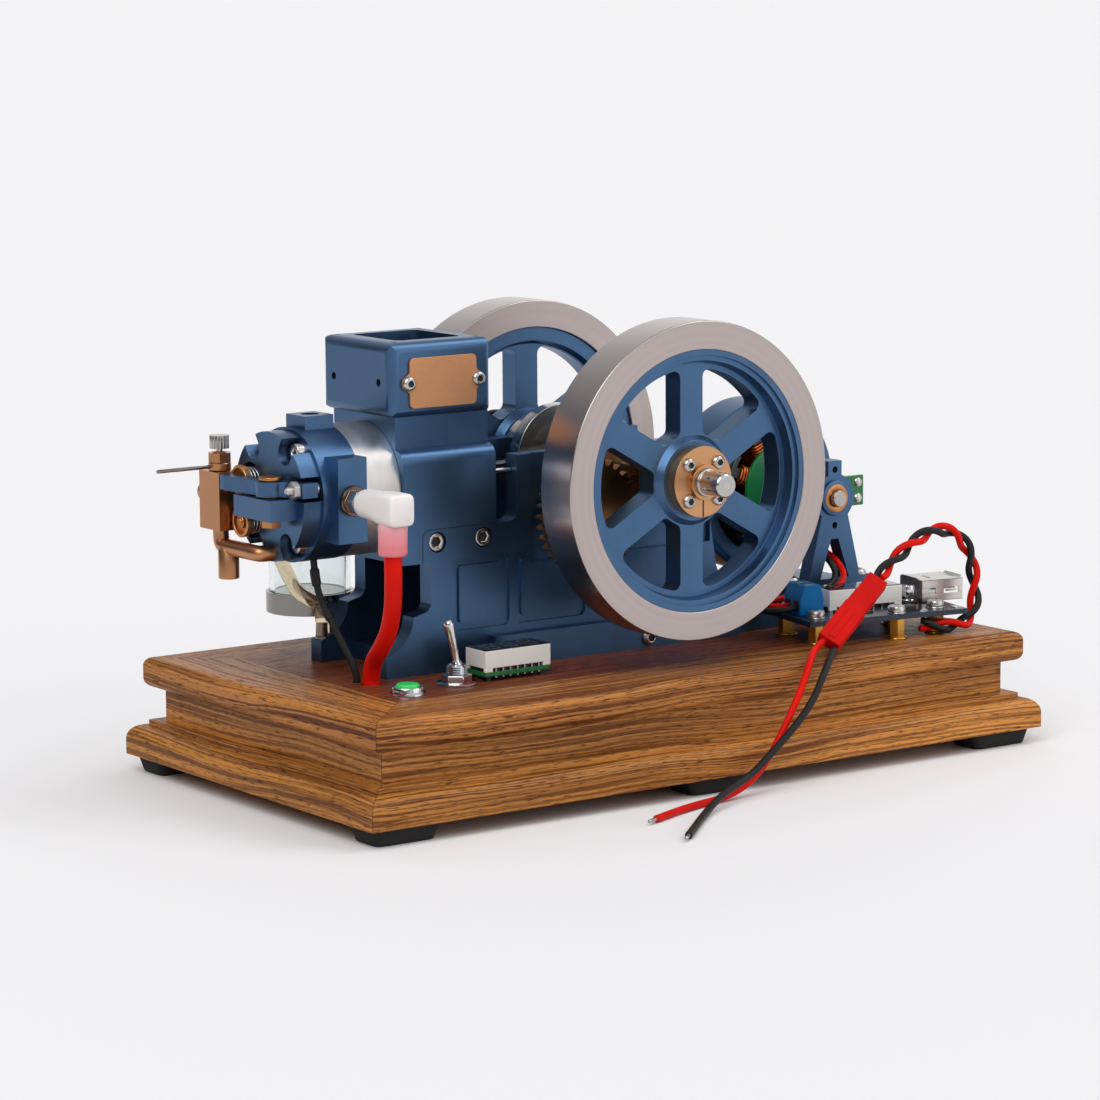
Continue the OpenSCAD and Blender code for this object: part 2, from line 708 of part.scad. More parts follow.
module bed_plate() color("steelblue") {
  box([notch_x - 4, plate_x1], [frame_y0 + plate_t, frame_y1 - plate_t], [top_z, bed_z]);
  difference() {
    box([plate_x1, plate_x1 + deck_l], [frame_y0, frame_y1], [top_z, deck_z]);
    for (x = stand_screws) bar_z(stand_screw_r, top_z + 2, deck_z + 1, x, stand_y0 + stand_t / 2);
  }
}
module plate_outline() {
  foot_r = 11.5;
  difference() {
    polygon(concat(
      [[plate_x0, top_z], [plate_x0, fitting_z]],
      arc([plate_x0 - 2, fitting_z + foot_r], foot_r, -80, -4, 8),
      [[notch_x - 3, fitting_z + foot_r]],
      arc([notch_x - 3, fitting_z + foot_r + 3], 3, -90, 0, 5),
      [[notch_x, cyl_z - block_drop - 0.1], [rabbet_x, cyl_z - block_drop - 0.1]],
      arc([rabbet_x + 2.5, plate_top - 2.5], 2.5, 180, 90, 4),
      arc([post_x0 - 3, plate_top + 3], 3, -90, 0, 5),
      [[post_x0, post_z], [post_x1, post_z], [post_x1, plate_top]],
      arc([post_x1 + 12, top_z + 24], 9, 180, 270, 6),
      [[plate_x1, top_z + 15], [plate_x1, top_z]]));
    translate([crank_x, crank_z]) circle(bearing_r);
  }
}
module panel_pockets(y0, y1) {
  for (p = [[panel_x0, post_x0 - 3], [post_x0 - 1, post_x0 + 24]])
    push_y(y0, y1) difference() {
      translate([(p[0] + p[1]) / 2, (panel_z0 + panel_z1) / 2])
        round_box(p[1] - p[0], panel_z1 - panel_z0, 2);
      translate([(p[0] + p[1]) / 2, (panel_z0 + panel_z1) / 2])
        round_box(p[1] - p[0] - 4.4, panel_z1 - panel_z0 - 4.4, 1);
    }
}
module front_side_plate() color("steelblue") difference() {
  union() {
    push_y(frame_y0, frame_y0 + plate_t) plate_outline();
    difference() {
      box([post_x0 - 10, plate_x1], [frame_y0 - skirt_t, frame_y0], [top_z, skirt_z]);
      bar_y(1.5, frame_y0 - skirt_t - 1, frame_y0 + 1, crank_x + 10.4, top_z + 3);
    }
  }
  panel_pockets(frame_y0 - 1, frame_y0 + panel_t);
  box([relief_x, post_x1 + 1], [frame_y0 - 1, frame_y0 + relief_t], [skirt_z + 20, post_z + 1]);
  for (x = screw_xs) {
    bar_y(screw_r, frame_y0 - 1, frame_y0 + plate_t + 1, x, screw_z);
    bar_y(screw_sink_r, frame_y0 - 1, frame_y0 + screw_sink, x, screw_z);
  }
  bar_y(cam_shaft_r + run, frame_y0 - 1, frame_y0 + plate_t + 1, cam_x, cam_z);
  bar_x(pushrod_r + gap, post_x0 - 1, relief_x + 1, pushrod_y, rocker_z);
}
module rear_side_plate() color("steelblue") difference() {
  push_y(frame_y1 - plate_t, frame_y1) plate_outline();
  panel_pockets(frame_y1 - panel_t, frame_y1 + 1);
  for (x = screw_xs) {
    bar_y(screw_r, frame_y1 - plate_t - 1, frame_y1 + 1, x, screw_z);
    bar_y(screw_sink_r, frame_y1 - screw_sink, frame_y1 + 1, x, screw_z);
  }
  bar_z(barb_seat_r, fitting_z, fitting_z + 4, fitting_x, fitting_y);
}
module bearings() color("silver") {
  for (y = [frame_y0, frame_y1 - bearing_t])
    difference() {
      bar_y(bearing_r, y, y + bearing_t, crank_x, crank_z);
      bar_y(shaft_r + run, y - 1, y + bearing_t + 1, crank_x, crank_z);
    }
  for (y = [stand_y0, stator_y1 - bush_l])
    difference() {
      union() {
        bar_y(bush_r, y, y + bush_l, gen_x, gen_z);
        if (y == stand_y0) bar_y(bush_r + 0.9, y - 0.8, y, gen_x, gen_z);
      }
      bar_y(gen_shaft_r + run, y - 2, y + bush_l + 1, gen_x, gen_z);
    }
}

module block_profile() polygon(concat(
  [[cyl_y - frame_w / 2, cyl_z - block_drop], [cyl_y - frame_w / 2, shoulder_z]],
  arc([cyl_y - neck_y, shoulder_z], frame_w / 2 - neck_y, 180, 90, 6),
  [[cyl_y - neck_y, hopper_z0 + 3], [cyl_y + neck_y, hopper_z0 + 3]],
  arc([cyl_y + neck_y, shoulder_z], frame_w / 2 - neck_y, 90, 0, 6),
  [[cyl_y + frame_w / 2, cyl_z - block_drop]]));
module cylinder_block() color("steelblue") difference() {
  union() {
    push_x(block_x0, block_x1) block_profile();
    translate([(hopper_x0 + hopper_x1) / 2, cyl_y, (hopper_z0 + hopper_z1) / 2])
      pillow(hopper_l, hopper_w, hopper_h, hopper_round);
  }
  translate([(hopper_x0 + hopper_x1) / 2, cyl_y, hopper_floor]) linear_extrude(hopper_h + 1)
    round_box(hopper_l - 2 * hopper_wall, hopper_w - 2 * hopper_wall, 2.5);
  for (x = [hopper_x0 + lid_hole_in, hopper_x1 - lid_hole_in], y = [-1, 1])
    bar_z(lid_hole_r, hopper_z1 - 5, hopper_z1 + 1, x, cyl_y + y * (hopper_w / 2 - lid_hole_in));
  for (y = [-1, 1])
    bar_x(end_hole_r, hopper_x0 - 1, hopper_x0 + 4, cyl_y + y * end_hole_y, badge_z + 0.1);
  bar_x(liner_r, block_x0 - 1, block_x1 + 1, cyl_y, cyl_z);
  bar_x(pushrod_r + gap, block_x0 - 1, block_x1 + 1, pushrod_y, rocker_z);
  for (y = [[frame_y0 - 1, frame_y0 + plate_t], [frame_y1 - plate_t, frame_y1 + 1]])
    box([rabbet_x, block_x1 + 1], y, [cyl_z - block_drop - 1, plate_top]);
  for (x = screw_xs, y = [frame_y0 + plate_t, frame_y1 - plate_t - 2])
    bar_y(screw_r, y - 0.5, y + 2.5, x, screw_z);
}
module cylinder_barrel() color("silver") difference() {
  union() {
    bar_x(barrel_r, head_x1, block_x0, cyl_y, cyl_z);
    bar_x(liner_r, block_x0 - 1, block_x1, cyl_y, cyl_z);
  }
  bar_x(bore_r, head_x1 - 1, block_x1 + 1, cyl_y, cyl_z);
  bar_x(pushrod_r + gap, head_x1 - 1, block_x1 + 1, pushrod_y, rocker_z);
}
module cylinder_head() color("steelblue") difference() {
  union() {
    bar_x(head_r, head_x0, head_x1, cyl_y, cyl_z);
    box([head_x0, head_x1 - 0.5], [cyl_y - boss_half, cyl_y + boss_half], [cyl_z, boss_z]);
    box([head_x0, head_x1 - 0.5], [pad_y, cyl_y], [cyl_z - pad_half, cyl_z + pad_half]);
  }
  bar_z(boss_hole_r, boss_z - 8, boss_z + 1, plug_x, cyl_y);
  bar_x(bore_r, head_x1 - 2.5, head_x1 + 1, cyl_y, cyl_z);
  bar_x(pushrod_r + gap, head_x0 - 1, head_x1 + 1, pushrod_y, rocker_z);
  for (v = [[exhaust_y, exhaust_z], [intake_y, intake_z]]) {
    bar_x(valve_r + 0.5, pocket_x, head_x1 + 1, v[0], v[1]);
    bar_x(stem_r + run, head_x0 - 1, head_x1, v[0], v[1]);
  }
  bar_y(plug_thread_r, pad_y - 1, cyl_y - bore_r, plug_x, plug_z);
  for (s = cover_screws) bar_x(cover_screw_r, head_x0 - 1, flange_x0 + cover_screw_l + 1, s[0], s[1]);
  along(sensor_route[0], sensor_route[1], lead_r + run);
}
module head_cover() color("steelblue") difference() {
  union() {
    bar_x(head_r, flange_x0, head_x0, cyl_y, cyl_z);
    bar_x(drum_r, cover_x0, flange_x0, cyl_y, cyl_z);
    box(pedestal[0] + [0, 1], pedestal[1], pedestal[2]);
  }
  for (s = cover_screws) {
    bar_x(cover_screw_r, cover_x0 - 1, head_x0 + 1, s[0], s[1]);
    bar_x(scallop_r, cover_x0 - 1, flange_x0, s[0], s[1]);
    translate([0, s[0], s[1]]) rotate([atan2(s[1] - cyl_z, s[0] - cyl_y), 0, 0])
      box([cover_x0 - 1, flange_x0], [0, 9], [-scallop_r, scallop_r]);
  }
  box([cover_x0 - 1, flange_x0], [cyl_y - head_r - 1, pushrod_y + 7.2], [rocker_z - 3.4, rocker_z + 3.4]);
  bar_x(pushrod_r + gap, flange_x0 - 1, head_x0 + 1, pushrod_y, rocker_z);
  for (v = [[exhaust_y, exhaust_z], [intake_y, intake_z]]) {
    bar_x(well_r, cover_x0 - 1, well_x, v[0], v[1]);
    bar_x(stem_r + run, cover_x0 - 1, head_x0 + 1, v[0], v[1]);
  }
  bar_z(pivot_r, pedestal[2][0] - 1, pedestal[2][1] + 1, pivot_x, pivot_y);
}
module nameplate() color("peru") difference() {
  push_y(badge_y - badge_t, badge_y) translate([badge_x, badge_z]) {
    round_box(badge_w, badge_h, badge_round);
    for (a = [0, 180]) rotate(a)
      polygon([[badge_w / 2 - 3, -ear_w], [badge_w / 2, -ear_w], [ear_x, -ear_tip], [ear_x, ear_tip],
        [badge_w / 2, ear_w], [badge_w / 2 - 3, ear_w]]);
  }
  for (x = badge_screws) bar_y(badge_screw_r, badge_y - 2, badge_y + 1, x, badge_z);
}
module machine_screws() color("gainsboro") {
  for (x = screw_xs) {
    translate([x, frame_y0 + screw_sink, screw_z]) rotate([90, 0, 0]) socket_screw(screw_r, screw_l);
    translate([x, frame_y1 - screw_sink, screw_z]) rotate([-90, 0, 0]) socket_screw(screw_r, screw_l);
  }
  for (s = cover_screws)
    translate([flange_x0, s[0], s[1]]) rotate([0, -90, 0]) socket_screw(cover_screw_r, cover_screw_l);
  for (x = badge_screws)
    translate([x, badge_y - badge_t, badge_z]) rotate([90, 0, 0]) button_screw(badge_screw_r, badge_t);
  translate([crank_x + 10.4, frame_y0 - skirt_t, top_z + 3]) rotate([90, 0, 0]) button_screw(1.5, 2.9);
  for (x = stand_screws)
    translate([x, stand_y0 + stand_t / 2, deck_z + stand_foot_h]) button_screw(stand_screw_r, 8);
}

module carburettor() color("peru") difference() {
  union() {
    translate([carb_x, carb_y, carb_z0]) linear_extrude(carb_h) square([carb_l, carb_w], center = true);
    bar_z(gland_r, carb_z1 + collar_t + 0.2, carb_z1 + collar_t + gland_t, carb_x, carb_y, $fn = 6);
    bar_z(neck_r, carb_z1 - 1, carb_z1 + collar_t + 1, carb_x, carb_y);
    bar_x(cover_boss_r, carb_x - carb_l / 2 - 2, carb_x, carb_y, cyl_z + 0.6);
    bar_z(inlet_r, inlet_z, carb_z0 + 1, carb_x, carb_y);
    bar_y(inlet_r, inlet_y, carb_y, carb_x, inlet_z);
    bar_x(inlet_r, carb_x, cover_x0, inlet_y, inlet_z);
    for (y = [inlet_y, carb_y]) translate([carb_x, y, inlet_z]) sphere(inlet_r);
    bar_z(tube_r, inlet_z - air_l, inlet_z, carb_x, air_y);
    bar_x(spigot_r, carb_x, spigot_x, spigot_y, spigot_z);
  }
  bar_z(tube_r - tube_wall, inlet_z - air_l - 3, inlet_z - 2, carb_x, air_y);
  bar_z(needle_r + run, carb_z1 - 6, carb_z1 + collar_t + gland_t + 1, carb_x, carb_y);
}
module mixture_needle() color("silver") {
  z = carb_z1 + collar_t + gland_t;
  bar_z(needle_r, carb_z1 - 5, z + 2, carb_x, carb_y);
  translate([carb_x, carb_y, z + 1.2]) linear_extrude(knob_h) {
    circle(knob_r);
    for (k = [0:15]) rotate(22.5 * k) translate([knob_r - 0.05, 0]) circle(0.35, $fn = 16);
  }
}
module choke_lever() color("silver") {
  z = carb_z1 + collar_t / 2 + 0.1;
  difference() {
    bar_z(collar_r, carb_z1 + 0.2, carb_z1 + collar_t, carb_x, carb_y);
    bar_z(neck_r + run, carb_z1 - 1, carb_z1 + collar_t + 1, carb_x, carb_y);
  }
  bar_x(lever_r, carb_x - choke_l, carb_x - collar_r + 0.3, carb_y, z);
}
module fuel_cup() color([0.8, 0.9, 0.95, 0.4]) difference() {
  bar_z(cup_r, cup_z + cap_h - cup_seat, cup_z + cap_h + cup_h, cup_x, cup_y);
  bar_z(cup_r - cup_wall, cup_z + cap_h - 3, cup_z + cap_h + cup_h + 1, cup_x, cup_y);
}
module fuel_cup_caps() color("dimgray") {
  z1 = cup_z + cap_h + cup_h;
  difference() {
    union() {
      bar_z(cap_r, cup_z, cup_z + cap_h, cup_x, cup_y);
      box([cup_x - bracket_half, cup_x + bracket_half], [frame_y1, cup_y], [cup_z, cup_z + 4]);
    }
    difference() {
      bar_z(cup_r, cup_z + cap_h - cup_seat, cup_z + cap_h + 1, cup_x, cup_y);
      bar_z(cup_r - cup_wall, cup_z, cup_z + cap_h + 2, cup_x, cup_y);
    }
  }
  bar_z(cap_r, z1, z1 + lid_t, cup_x, cup_y);
  bar_z(lid_knob_r, z1 + lid_t, z1 + 2 * lid_t, cup_x, cup_y);
  bar_z(cup_r - cup_wall, z1 - cup_seat, z1, cup_x, cup_y);
  bar_z(barb_r, fitting_z, fitting_z + barb_l, fitting_x, fitting_y);
  bar_z(barb_seat_r, fitting_z, fitting_z + 1, fitting_x, fitting_y);
}
module fuel_hose() color([0.85, 0.8, 0.65, 0.6]) difference() {
  tube(hose_route, hose_r, 8);
  bar_z(barb_r, fitting_z, fitting_z + barb_l, fitting_x, fitting_y);
  bar_x(spigot_r, carb_x, spigot_x, spigot_y, spigot_z);
}
module spark_plug() color("silver") {
  bar_y(plug_thread_r, pad_y - 1, cyl_y - bore_r - 0.5, plug_x, plug_z);
  bar_y(plug_seat_r, pad_y - 1.2, pad_y, plug_x, plug_z);
  bar_y(plug_hex_r, pad_y - 5, pad_y - 1.2, plug_x, plug_z, $fn = 6);
  bar_y(plug_post_r, pad_y - plug_post, pad_y - 5, plug_x, plug_z);
}
module plug_boot() color("white") difference() {
  union() {
    bar_y(boot_r, boot_y0, boot_y1, plug_x, plug_z);
    bar_z(boot_leg_r, boot_foot_z, plug_z, plug_x, boot_leg_y);
  }
  bar_y(plug_post_r, pad_y - plug_post, boot_y1 + 1, plug_x, plug_z);
  bar_y(plug_hex_r + 0.6, boot_y1 - 1, boot_y1 + 1, plug_x, plug_z);
  bar_z(spark_lead_r, boot_foot_z - 1, boot_foot_z + 4, plug_x, boot_leg_y);
}
module ignition_lead() color("red") tube(spark_route, spark_lead_r, 10);
module sensor_lead() color([0.1, 0.1, 0.1]) tube(sensor_route, lead_r, 8);

module rocker_arm() color("steelblue") difference() {
  translate([0, 0, rocker_z - rocker_t / 2]) linear_extrude(rocker_t) {
    translate([pivot_x, pivot_y]) circle(rocker_boss_r);
    arm([pivot_x, pivot_y], [rocker_end_x, pushrod_y], rocker_arm_w);
    arm([pivot_x, pivot_y], [stem_tip - 2.4, exhaust_y], rocker_arm_w);
    translate([rocker_end_x, pushrod_y]) square([5, 6], center = true);
    translate([stem_tip - gap - 1.9, exhaust_y]) square([3.8, 5.6], center = true);
  }
  bar_z(pivot_r + run, rocker_z - rocker_t, rocker_z + rocker_t, pivot_x, pivot_y);
  bar_x(adjuster_r, rocker_end_x - 4, rocker_end_x + 4, pushrod_y, rocker_z);
  bar_x(adjuster_nut_r + gap, rocker_end_x - 8, rocker_end_x - 2.5, pushrod_y, rocker_z);
}
module arm(a, b, w) translate(a) rotate(atan2(b.y - a.y, b.x - a.x)) translate([0, -w / 2])
  square([norm(b - a), w]);
module rocker_adjuster() color("silver") {
  bar_x(adjuster_r, rocker_end_x - 6, rocker_end_x + 2.6, pushrod_y, rocker_z);
  bar_x(adjuster_nut_r, rocker_end_x - 4.6, rocker_end_x - 2.5, pushrod_y, rocker_z, $fn = 6);
  bar_x(1.8, rocker_end_x + 2.5, rocker_end_x + 4, pushrod_y, rocker_z);
}
module rocker_pivot() color("peru") {
  z0 = pedestal[2][0];
  z1 = rocker_z + rocker_t / 2;
  bar_z(pivot_r, z0 - 2.4, z1 + 1.2, pivot_x, pivot_y);
  translate([pivot_x, pivot_y, z0 - 2.4]) cylinder(r = 3, h = 2.4, $fn = 6);
  bar_z(3.4, pedestal[2][1], pedestal[2][1] + 0.3, pivot_x, pivot_y);
  bar_z(3.2, z1 + 0.2, z1 + 1.2, pivot_x, pivot_y);
}
module pushrod() color("silver")
  bar_x(pushrod_r, rocker_end_x + 4 + gap, relief_x - 1.5, pushrod_y, rocker_z);
module valve(y, z) {
  bar_x(stem_r, stem_tip, pocket_x + 0.3, y, z);
  bar_x(valve_r, pocket_x + 0.3, pocket_x + 1.5, y, z);
  difference() {
    bar_x(retainer_r, spring_x0 - retainer_t, spring_x0, y, z);
    difference() {
      bar_x(retainer_r - 0.8, spring_x0 - retainer_t - 1, spring_x0 - 1, y, z);
      bar_x(stem_r + 0.8, spring_x0 - retainer_t - 1, spring_x0, y, z);
    }
  }
}
module exhaust_valve() color("peru") valve(exhaust_y, exhaust_z);
module intake_valve() color("peru") valve(intake_y, intake_z);
spring_inset = spring_wire_r + 0.1;
function spring_points(y, z) = helix(spring_x0 + spring_inset, well_x - spring_inset, spring_r, spring_turns,
  y, z);
module exhaust_spring() color("silver") tube(spring_points(exhaust_y, exhaust_z), spring_wire_r, 6);
module intake_spring() color("silver") tube(spring_points(intake_y, intake_z), spring_wire_r, 6);

module piston() color("lightgray") difference() {
  bar_x(bore_r - run, wrist_x - piston_front, wrist_x + piston_back, cyl_y, cyl_z);
  bar_x(piston_bore, wrist_x - piston_front + 5, wrist_x + piston_back + 1, cyl_y, cyl_z);
  for (x = [2, 4.6])
    difference() {
      bar_x(bore_r + 1, wrist_x - piston_front + x, wrist_x - piston_front + x + 1.2, cyl_y, cyl_z);
      bar_x(bore_r - 0.6, wrist_x - piston_front, wrist_x, cyl_y, cyl_z);
    }
  bar_y(wrist_r + run, cyl_y - bore_r - 1, cyl_y + bore_r + 1, wrist_x, cyl_z);
}
module rod_pins() color("silver") {
  bar_y(wrist_r, cyl_y - bore_r + 1.4, cyl_y + bore_r - 1.4, wrist_x, cyl_z);
  bar_y(pin_r, cyl_y - web_gap + gap, cyl_y + web_gap - gap, crank_x + pin_throw, crank_z);
}
module connecting_rod() color("silver") {
  translate([wrist_x, 0, cyl_z]) rotate([0, -rest_lift, 0]) difference() {
    union() {
      push_y(cyl_y - rod_w / 2, cyl_y + rod_w / 2) {
        circle(rod_eye_r);
        translate([rod_l, 0]) circle(rod_end_r);
      }
      push_y(cyl_y - 2.5, cyl_y + 2.5) polygon([[0, -2.2], [rod_l, -3.2], [rod_l, 3.2], [0, 2.2]]);
    }
    bar_y(wrist_r, cyl_y - rod_w, cyl_y + rod_w, 0, 0);
    bar_y(pin_r, cyl_y - rod_w, cyl_y + rod_w, rod_l, 0);
  }
}
module crankshaft() color("silver") {
  translate([crank_x, shaft_front, crank_z]) rotate([-90, 0, 0])
    cylinder(r1 = stub_r - stub_chamfer, r2 = stub_r, h = stub_chamfer);
  bar_y(stub_r, shaft_front + stub_chamfer, stub_y1, crank_x, crank_z);
  bar_y(shaft_r, stub_y1, cyl_y - web_gap - web_t, crank_x, crank_z);
  bar_y(web_r, cyl_y - web_gap - web_t, cyl_y - web_gap, crank_x, crank_z);
  bar_y(web_r, cyl_y + web_gap, cyl_y + web_gap + web_t, crank_x, crank_z);
  bar_y(shaft_r, cyl_y + web_gap + web_t, shaft_rear, crank_x, crank_z);
}
module crank_gear() color("peru") difference() {
  union() {
    translate([crank_x, 0, crank_z]) push_y(gear_y0, gear_y1) rotate(gear_turn) gear(crank_teeth, 0);
    bar_y(6, gear_y1, frame_y0 - 0.6, crank_x, crank_z);
  }
  bar_y(shaft_r, gear_y0 - 1, frame_y0, crank_x, crank_z);
}
module cam_gear() color("peru") {
  translate([cam_x, 0, cam_z]) push_y(gear_y0, gear_y1)
    rotate(gear_turn + 180 + 180 / cam_teeth) gear(cam_teeth, 0);
  bar_y(4.5, gear_y1, frame_y0 - 0.6, cam_x, cam_z);
  bar_y(6.5, gear_y1 + 2, gear_y1 + 7, cam_x + 1.5, cam_z);
  bar_y(cam_shaft_r, gear_y0 - 2, frame_y0 + plate_t - 0.5, cam_x, cam_z);
}
// Turns a flywheel drawn from its outer face at 0 to its inner face at the wheel's width
module front_wheel() translate([crank_x, front_face, crank_z]) rotate([-90, 0, 0]) children();
module rear_wheel() translate([crank_x, rear_face, crank_z]) rotate([90, 0, 0]) children();
module wheel_rim() difference() {
  cylinder(r = wheel_r, h = wheel_t, $fn = 128);
  translate([0, 0, -1]) cylinder(r = rim_in, h = wheel_t + 2, $fn = 128);
}
module flywheel_rims() color("lightgray") {
  front_wheel() wheel_rim();
  rear_wheel() wheel_rim();
}
boss_r = 11.5;
hub_sleeve_r = 6;
hub_screw_r = 1.2;
hub_screw_l = 6;
web_y0 = 4.4;
web_y1 = wheel_t - 3;
window_round = 2.2;
module spoke_window() offset(r = window_round) offset(delta = -window_round) difference() {
  circle(rim_in - 5.5, $fn = 96);
  circle(boss_r + 2);
  for (k = [0:spokes - 1])
    rotate(360 * k / spokes) translate([0, -spoke_w / 2]) square([wheel_r, spoke_w]);
}
module wheel_spider() difference() {
  rotate_extrude($fn = 128) polygon([[hub_sleeve_r, hub_t - 1], [boss_r, hub_t - 1], [boss_r + 1.5, web_y0],
    [rim_in - 4, web_y0], [rim_in - 3.2, 1.2], [rim_in - 1.6, 1.2], [rim_in - 1.6, 0.3], [rim_in, 0.3],
    [rim_in, wheel_t - 1], [rim_in - 4, wheel_t - 1], [rim_in - 5, web_y1], [boss_r + 1.5, web_y1],
    [boss_r, wheel_t - 0.6], [hub_sleeve_r, wheel_t - 0.6]]);
  translate([0, 0, -1]) linear_extrude(wheel_t + 2) rotate(30) spoke_window();
  for (k = [0:3]) rotate(45 + 90 * k) translate([hub_bolt_r, 0, hub_t - 2])
    cylinder(r = hub_screw_r, h = hub_screw_l);
}
module flywheel_spiders() color("steelblue") {
  front_wheel() wheel_spider();
  rear_wheel() wheel_spider();
}
module wheel_hub() difference() {
  union() {
    translate([0, 0, -1]) cylinder(r = hub_r, h = hub_t);
    translate([0, 0, -hub_rise]) cylinder(r = hub_nose_r, h = 3);
    translate([0, 0, 1]) cylinder(r = hub_sleeve_r, h = wheel_t - 1.6);
  }
  translate([0, 0, -4]) cylinder(r = shaft_r, h = wheel_t + 6);
  for (k = [0:3]) rotate(45 + 90 * k) translate([hub_bolt_r, 0, -2])
    cylinder(r = hub_screw_r, h = hub_screw_l + 2);
}
module flywheel_hubs() color("peru") {
  front_wheel() wheel_hub();
  rear_wheel() wheel_hub();
  difference() {
    bar_y(crank_pulley_r + 1.2, belt_y - 2, belt_y + 4, crank_x, crank_z);
    bar_y(shaft_r, belt_y - 4, belt_y + 6, crank_x, crank_z);
    groove(crank_x, crank_z, crank_pulley_r);
  }
}
// Ring cut that the belt runs in, clear of its inner face and its sides
module groove(x, z, r) difference() {
  bar_y(r + 9, belt_y - belt_w / 2 - gap, belt_y + belt_w / 2 + gap, x, z);
  bar_y(r - gap, belt_y - belt_w, belt_y + belt_w, x, z);
}
module hub_screw(k) rotate(45 + 90 * k) translate([hub_bolt_r, 0, -1]) rotate([180, 0, 0])
  button_screw(hub_screw_r, hub_screw_l);
module hub_screws() color("gainsboro") {
  for (k = [0:3]) {
    front_wheel() hub_screw(k);
    rear_wheel() hub_screw(k);
  }
}
// Outline of the belt run at a given depth above its inner face
module belt_run(t) polygon(concat(arc([0, 0], crank_pulley_r + t, belt_wrap, 360 - belt_wrap, 24),
  arc([belt_d, 0], gen_pulley_r + t, -belt_wrap, belt_wrap, 24)));
module drive_belt() color([0.1, 0.1, 0.1]) translate([crank_x, belt_y + belt_w / 2, crank_z])
  rotate([90, 0, 0]) rotate(belt_turn) linear_extrude(belt_w) difference() {
    belt_run(belt_t);
    belt_run(0);
  }

module stand_outline() {
  difference() {
    union() {
      circle(stand_eye_r);
      translate([-stand_ear / 2, 0]) square([stand_ear, stand_rise]);
      polygon([[-stand_neck, -4], [stand_neck, -4],
        [stand_leg, deck_z - gen_z], [-stand_leg, deck_z - gen_z]]);
      translate([stand_foot[0], deck_z - gen_z]) square([stand_foot[1] - stand_foot[0], stand_foot_h]);
    }
    circle(bush_r);
    for (z = [stand_rise - 2.7, -stand_eye_r - 1]) translate([0, z]) circle(stand_pin_r);
    polygon([[-slot_top, -slot_drop], [slot_top, -slot_drop], [slot_foot, deck_z - gen_z + stand_foot_h],
      [-slot_foot, deck_z - gen_z + stand_foot_h]]);
  }
}
module generator_stand() color("steelblue") difference() {
  union() {
    translate([gen_x, 0, gen_z]) push_y(stand_y0, stand_y0 + stand_t) stand_outline();
    bar_y(sleeve_r, stand_y0 + stand_t, stator_y1, gen_x, gen_z);
  }
  bar_y(bush_r, stand_y0 - 1, stator_y1 + 1, gen_x, gen_z);
  for (x = stand_screws) {
    bar_z(stand_screw_r, deck_z - 1, deck_z + 6, x, stand_y0 + stand_t / 2);
    bar_z(2 * stand_screw_r, deck_z + stand_foot_h, deck_z + 6, x, stand_y0 + stand_t / 2);
  }
}
module generator_stator() color("dimgray") translate([gen_x, 0, gen_z])
  push_y(stator_y0, stator_y1) stator_outline();
module stator_outline() difference() {
  union() {
    circle(stator_hub_r);
    for (k = [0:stator_teeth - 1])
      rotate(360 * k / stator_teeth) translate([0, -tooth_w / 2]) square([stator_r - 1, tooth_w]);
    difference() {
      circle(stator_r);
      circle(stator_r - shoe_t);
      for (k = [0:stator_teeth - 1])
        rotate(360 * (k + 0.5) / stator_teeth) translate([0, -shoe_gap / 2]) square([stator_r + 1, shoe_gap]);
    }
  }
  circle(sleeve_r);
}
// One coil is a loop with cut corners, wound outwards along its tooth
coil_w = tooth_w / 2 + coil_r + coil_clear;
coil_h = (stator_y1 - stator_y0) / 2 + coil_r + coil_clear;
coil_half = [[coil_w, 0], [coil_w, coil_h - coil_cut], [coil_w - coil_cut, coil_h], [0, coil_h],
  [coil_cut - coil_w, coil_h], [-coil_w, coil_h - coil_cut]];
coil_loop = concat(coil_half, -coil_half);
coil_rings = len(coil_loop);
coil_path = [for (i = [0:coil_turns * coil_rings]) [stator_hub_r + coil_r + 0.5 + coil_pitch * i / coil_rings,
  (stator_y0 + stator_y1) / 2 + coil_loop[i % coil_rings].y, coil_loop[i % coil_rings].x]];
module generator_coils() color("orangered") translate([gen_x, 0, gen_z])
  for (k = [0:stator_teeth - 1])
    rotate([0, 360 * k / stator_teeth, 0]) tube(coil_path, coil_r, 6);
module generator_board() color("green") translate([gen_x, 0, gen_z]) push_y(board_y0, board_y1) difference() {
  union() {
    circle(ring_board_r);
    translate([tab[0], tab_z[0]]) square([tab[1] - tab[0], tab_z[1] - tab_z[0]]);
  }
  circle(sleeve_r);
}
module generator_bell() color("steelblue") translate([gen_x, bell_y0, gen_z]) rotate([-90, 0, 0])
  rotate_extrude($fn = 96) {
    bell_l = bell_y1 - bell_y0;
    wall_in = stator_r + air_gap;
    translate([wall_in, 0]) square([bell_r - wall_in - bell_round, bell_l]);
    translate([wall_in, bell_round]) square([bell_r - wall_in, bell_l - 2 * bell_round]);
    for (y = [bell_round, bell_l - bell_round]) translate([bell_r - bell_round, y]) circle(bell_round);
    translate([gen_shaft_r, bell_l - bell_back]) square([bell_r - gen_shaft_r - bell_round, bell_back]);
  }
module generator_shaft() color("silver") {
  bar_y(gen_shaft_r, stand_y0 - 2.6, bell_y1, gen_x, gen_z);
  bar_y(gen_shaft_r, bell_y1 - 1, belt_y + 4.6, gen_x, gen_z);
  difference() {
    bar_y(gen_pulley_r + 1.2, belt_y - 3, belt_y + 3, gen_x, gen_z);
    groove(gen_x, gen_z, gen_pulley_r);
  }
}

